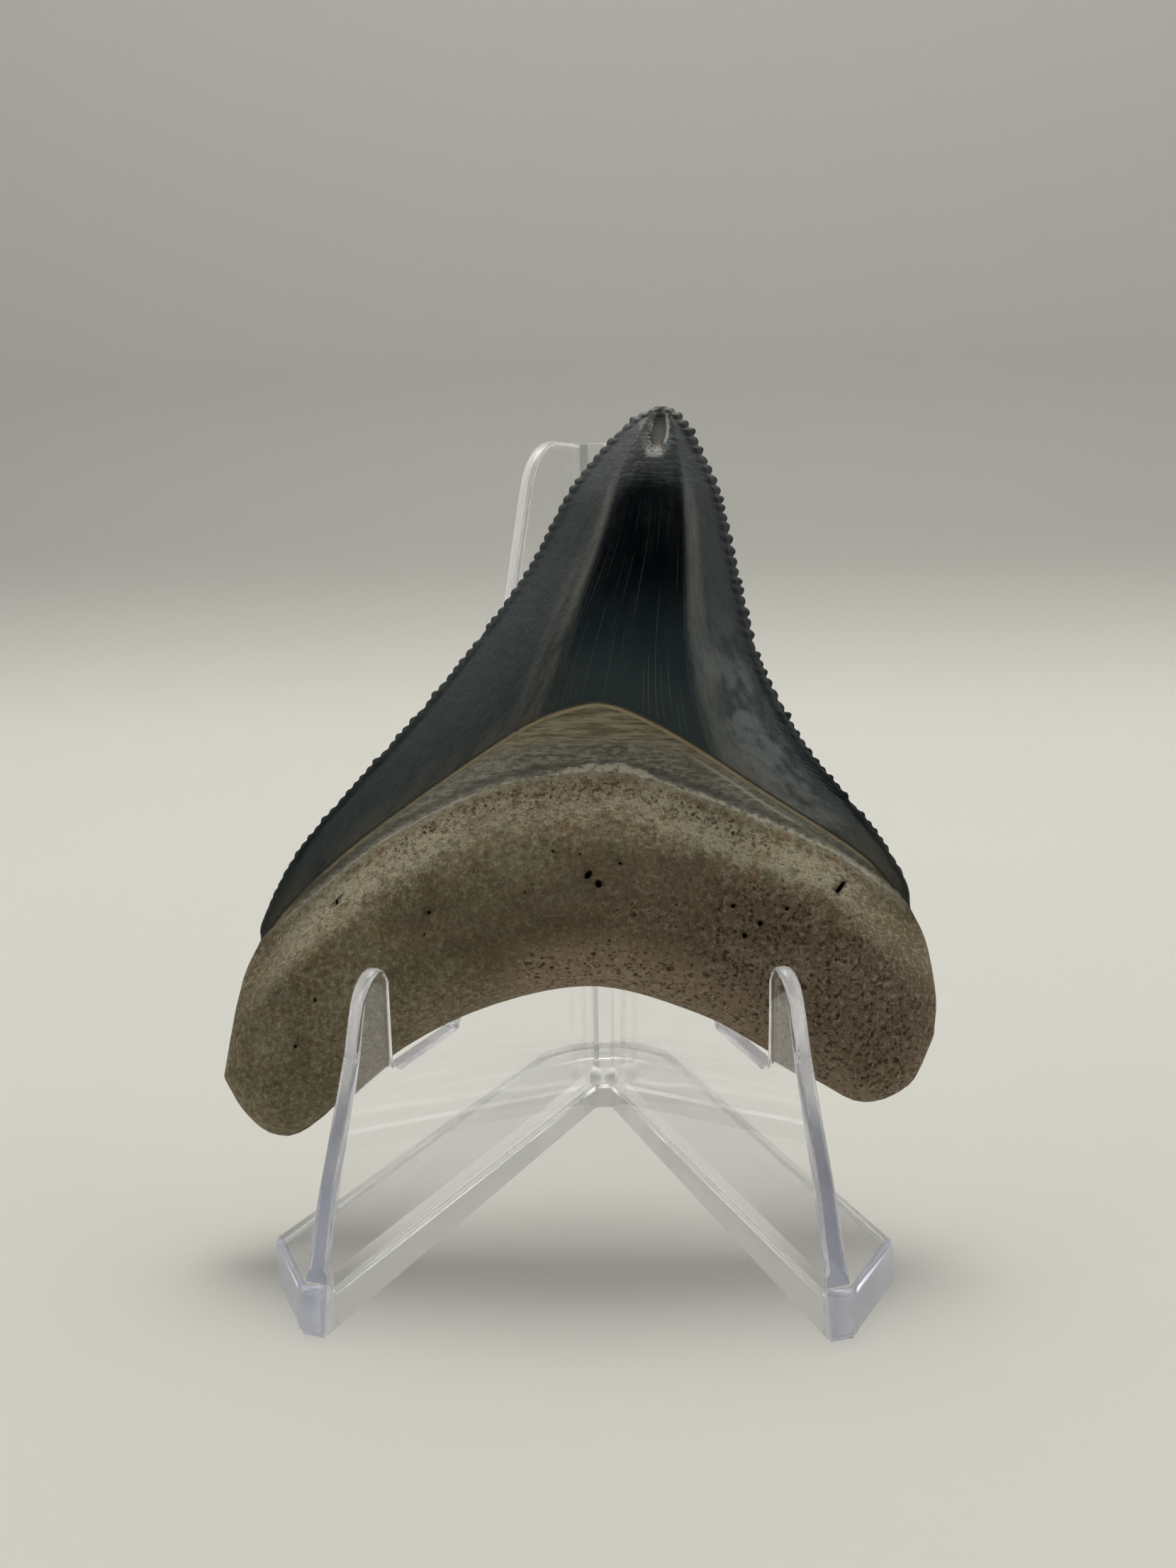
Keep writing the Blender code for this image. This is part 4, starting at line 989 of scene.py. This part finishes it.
# Sizes in metres.
SWEEP_START = 0.56
SWEEP_RADIUS = 0.16
SWEEP_TOP = 0.95
CARD_HALF_WIDE = 2.0
CARD_UNDER_EASEL = 0.06 * MM
sweep = bmesh.new()
profile = [(-1.2, 0.0)] + [(-0.6 + 0.1 * k, 0.0) for k in range(12)]
profile += [(SWEEP_START + SWEEP_RADIUS * math.sin(math.radians(bend)),
             SWEEP_RADIUS * (1.0 - math.cos(math.radians(bend)))) for bend in range(0, 91, 5)]
profile += [(SWEEP_START + SWEEP_RADIUS, SWEEP_TOP)]
strips = [[sweep.verts.new((side * CARD_HALF_WIDE, y, z)) for side in (-1.0, 1.0)] for y, z in profile]
for first, second in zip(strips, strips[1:]):
    sweep.faces.new([first[0], first[1], second[1], second[0]])
card_mesh = bpy.data.meshes.new("card")
sweep.to_mesh(card_mesh)
sweep.free()
for face in card_mesh.polygons:
    face.use_smooth = True
card = bpy.data.objects.new("card", card_mesh)
card.location.z = -CARD_UNDER_EASEL
bpy.context.scene.collection.objects.link(card)
card_material, wire = start_material("card")
spot = wire.node("ShaderNodeTexCoord", output=3)
height = spot.part(2)
fleck = wire.node("ShaderNodeTexNoise", None, {"Vector": spot, "Scale": 6.0, "Detail": 3.0})
card_tone = fleck.blend((0.715, 0.705, 0.645), (0.765, 0.755, 0.700))
# Painted shade: the bent-up part of the card is darker than the flat part, darkest low down.
wall_shade_tone = wire.node("ShaderNodeValToRGB", {"stops": [
    (0.10, (0.470, 0.466, 0.432)),
    (0.34, (0.630, 0.622, 0.592)),
    (0.62, (0.645, 0.635, 0.605))]}, {0: height * 2.0})
wire.node("ShaderNodeBsdfPrincipled", None, {
    "Base Color": height.between(-0.03, 0.075).blend(card_tone, wall_shade_tone), "Roughness": 0.75}).surface()
card_mesh.materials.append(card_material)

# ---------------------------------------------------------------------------------------------
# Light: one soft lamp overhead, a little behind, and a large dim panel on each side.  The room is
# dim, and darkest over the camera, where the middle of the crown mirrors it.


def soft_panel(name, spot, aim, size, watts, tint):
    """A rectangular area light that faces a point."""
    data = bpy.data.lights.new(name, "AREA")
    data.shape = "RECTANGLE"
    data.size, data.size_y = size
    data.energy = watts
    data.color = tint
    panel = bpy.data.objects.new(name, data)
    panel.location = spot
    panel.rotation_mode = "QUATERNION"
    panel.rotation_quaternion = (Vector(aim) - Vector(spot)).to_track_quat("-Z", "Y")
    bpy.context.scene.collection.objects.link(panel)


soft_panel("lamp", (0.0, 0.35, 1.13), (0.0, 0.0, 0.0), (0.62, 0.62), 5.2, (1.0, 0.98, 0.93))
soft_panel("back_ceiling", (0.0, 0.50, 1.30), (0.0, 0.45, 0.0), (2.4, 0.9), 8.5, (1.0, 0.98, 0.94))
soft_panel("left_side", (-1.25, -0.30, 0.65), (0.0, 0.0, 0.04), (1.2, 1.1), 0.95, (0.93, 1.0, 0.97))
soft_panel("right_side", (1.30, 0.10, 0.65), (0.0, 0.0, 0.04), (1.2, 1.1), 2.0, (0.93, 1.0, 0.97))
world = bpy.data.worlds.new("room")
bpy.context.scene.world = world
world.use_nodes = True
wire = Wire(world.node_tree)
way = wire.node("ShaderNodeTexCoord")
over_camera = way.part(1).between(-0.12, -0.42) * way.part(2).between(0.05, 0.22)
room_tone = over_camera.blend((0.39, 0.395, 0.40), (0.020, 0.023, 0.026))
wire.link(room_tone, world.node_tree.nodes["Background"].inputs["Color"])
bpy.context.scene.view_settings.view_transform = "Standard"
# Light runs a long way inside the thin clear fins before it comes out.
LIGHT_BOUNCES = 32
bpy.context.scene.cycles.max_bounces = LIGHT_BOUNCES
bpy.context.scene.cycles.transmission_bounces = LIGHT_BOUNCES
bpy.context.scene.cycles.glossy_bounces = LIGHT_BOUNCES

# ---------------------------------------------------------------------------------------------
# Camera: close, a little above the table, turned slightly left of straight on.  Its frame is upright,
# so the sensor's wide side spans the frame's height.

# Its place in millimetres from the point that the easel's heel turns about; focal length and frame in
# pixels.
CAMERA_SPOT = (8.8, -178.1, 64.1)
CAMERA_DOWN = math.radians(8.57)
CAMERA_LEFT = math.radians(3.24)
CAMERA_ROLL = math.radians(-1.12)
FOCAL_PIXELS = 2250.0
FRAME_TALL = 2212.0
SENSOR_WIDE = 36.0
camera_data = bpy.data.cameras.new("camera")
camera_data.sensor_width = SENSOR_WIDE
camera_data.lens = SENSOR_WIDE * FOCAL_PIXELS / FRAME_TALL
camera_data.clip_start = 0.01
camera_data.clip_end = 20.0
camera = bpy.data.objects.new("camera", camera_data)
ahead = Vector((-math.sin(CAMERA_LEFT) * math.cos(CAMERA_DOWN),
                math.cos(CAMERA_LEFT) * math.cos(CAMERA_DOWN),
                -math.sin(CAMERA_DOWN)))
level = Vector((math.cos(CAMERA_LEFT), math.sin(CAMERA_LEFT), 0.0))
above = level.cross(ahead)
right_hand = level * math.cos(CAMERA_ROLL) + above * math.sin(CAMERA_ROLL)
overhead = above * math.cos(CAMERA_ROLL) - level * math.sin(CAMERA_ROLL)
looking = Matrix((right_hand, overhead, -ahead)).transposed().to_4x4()
camera.matrix_world = Matrix.Translation(apex + Vector(CAMERA_SPOT) * MM) @ looking
bpy.context.scene.collection.objects.link(camera)
bpy.context.scene.camera = camera
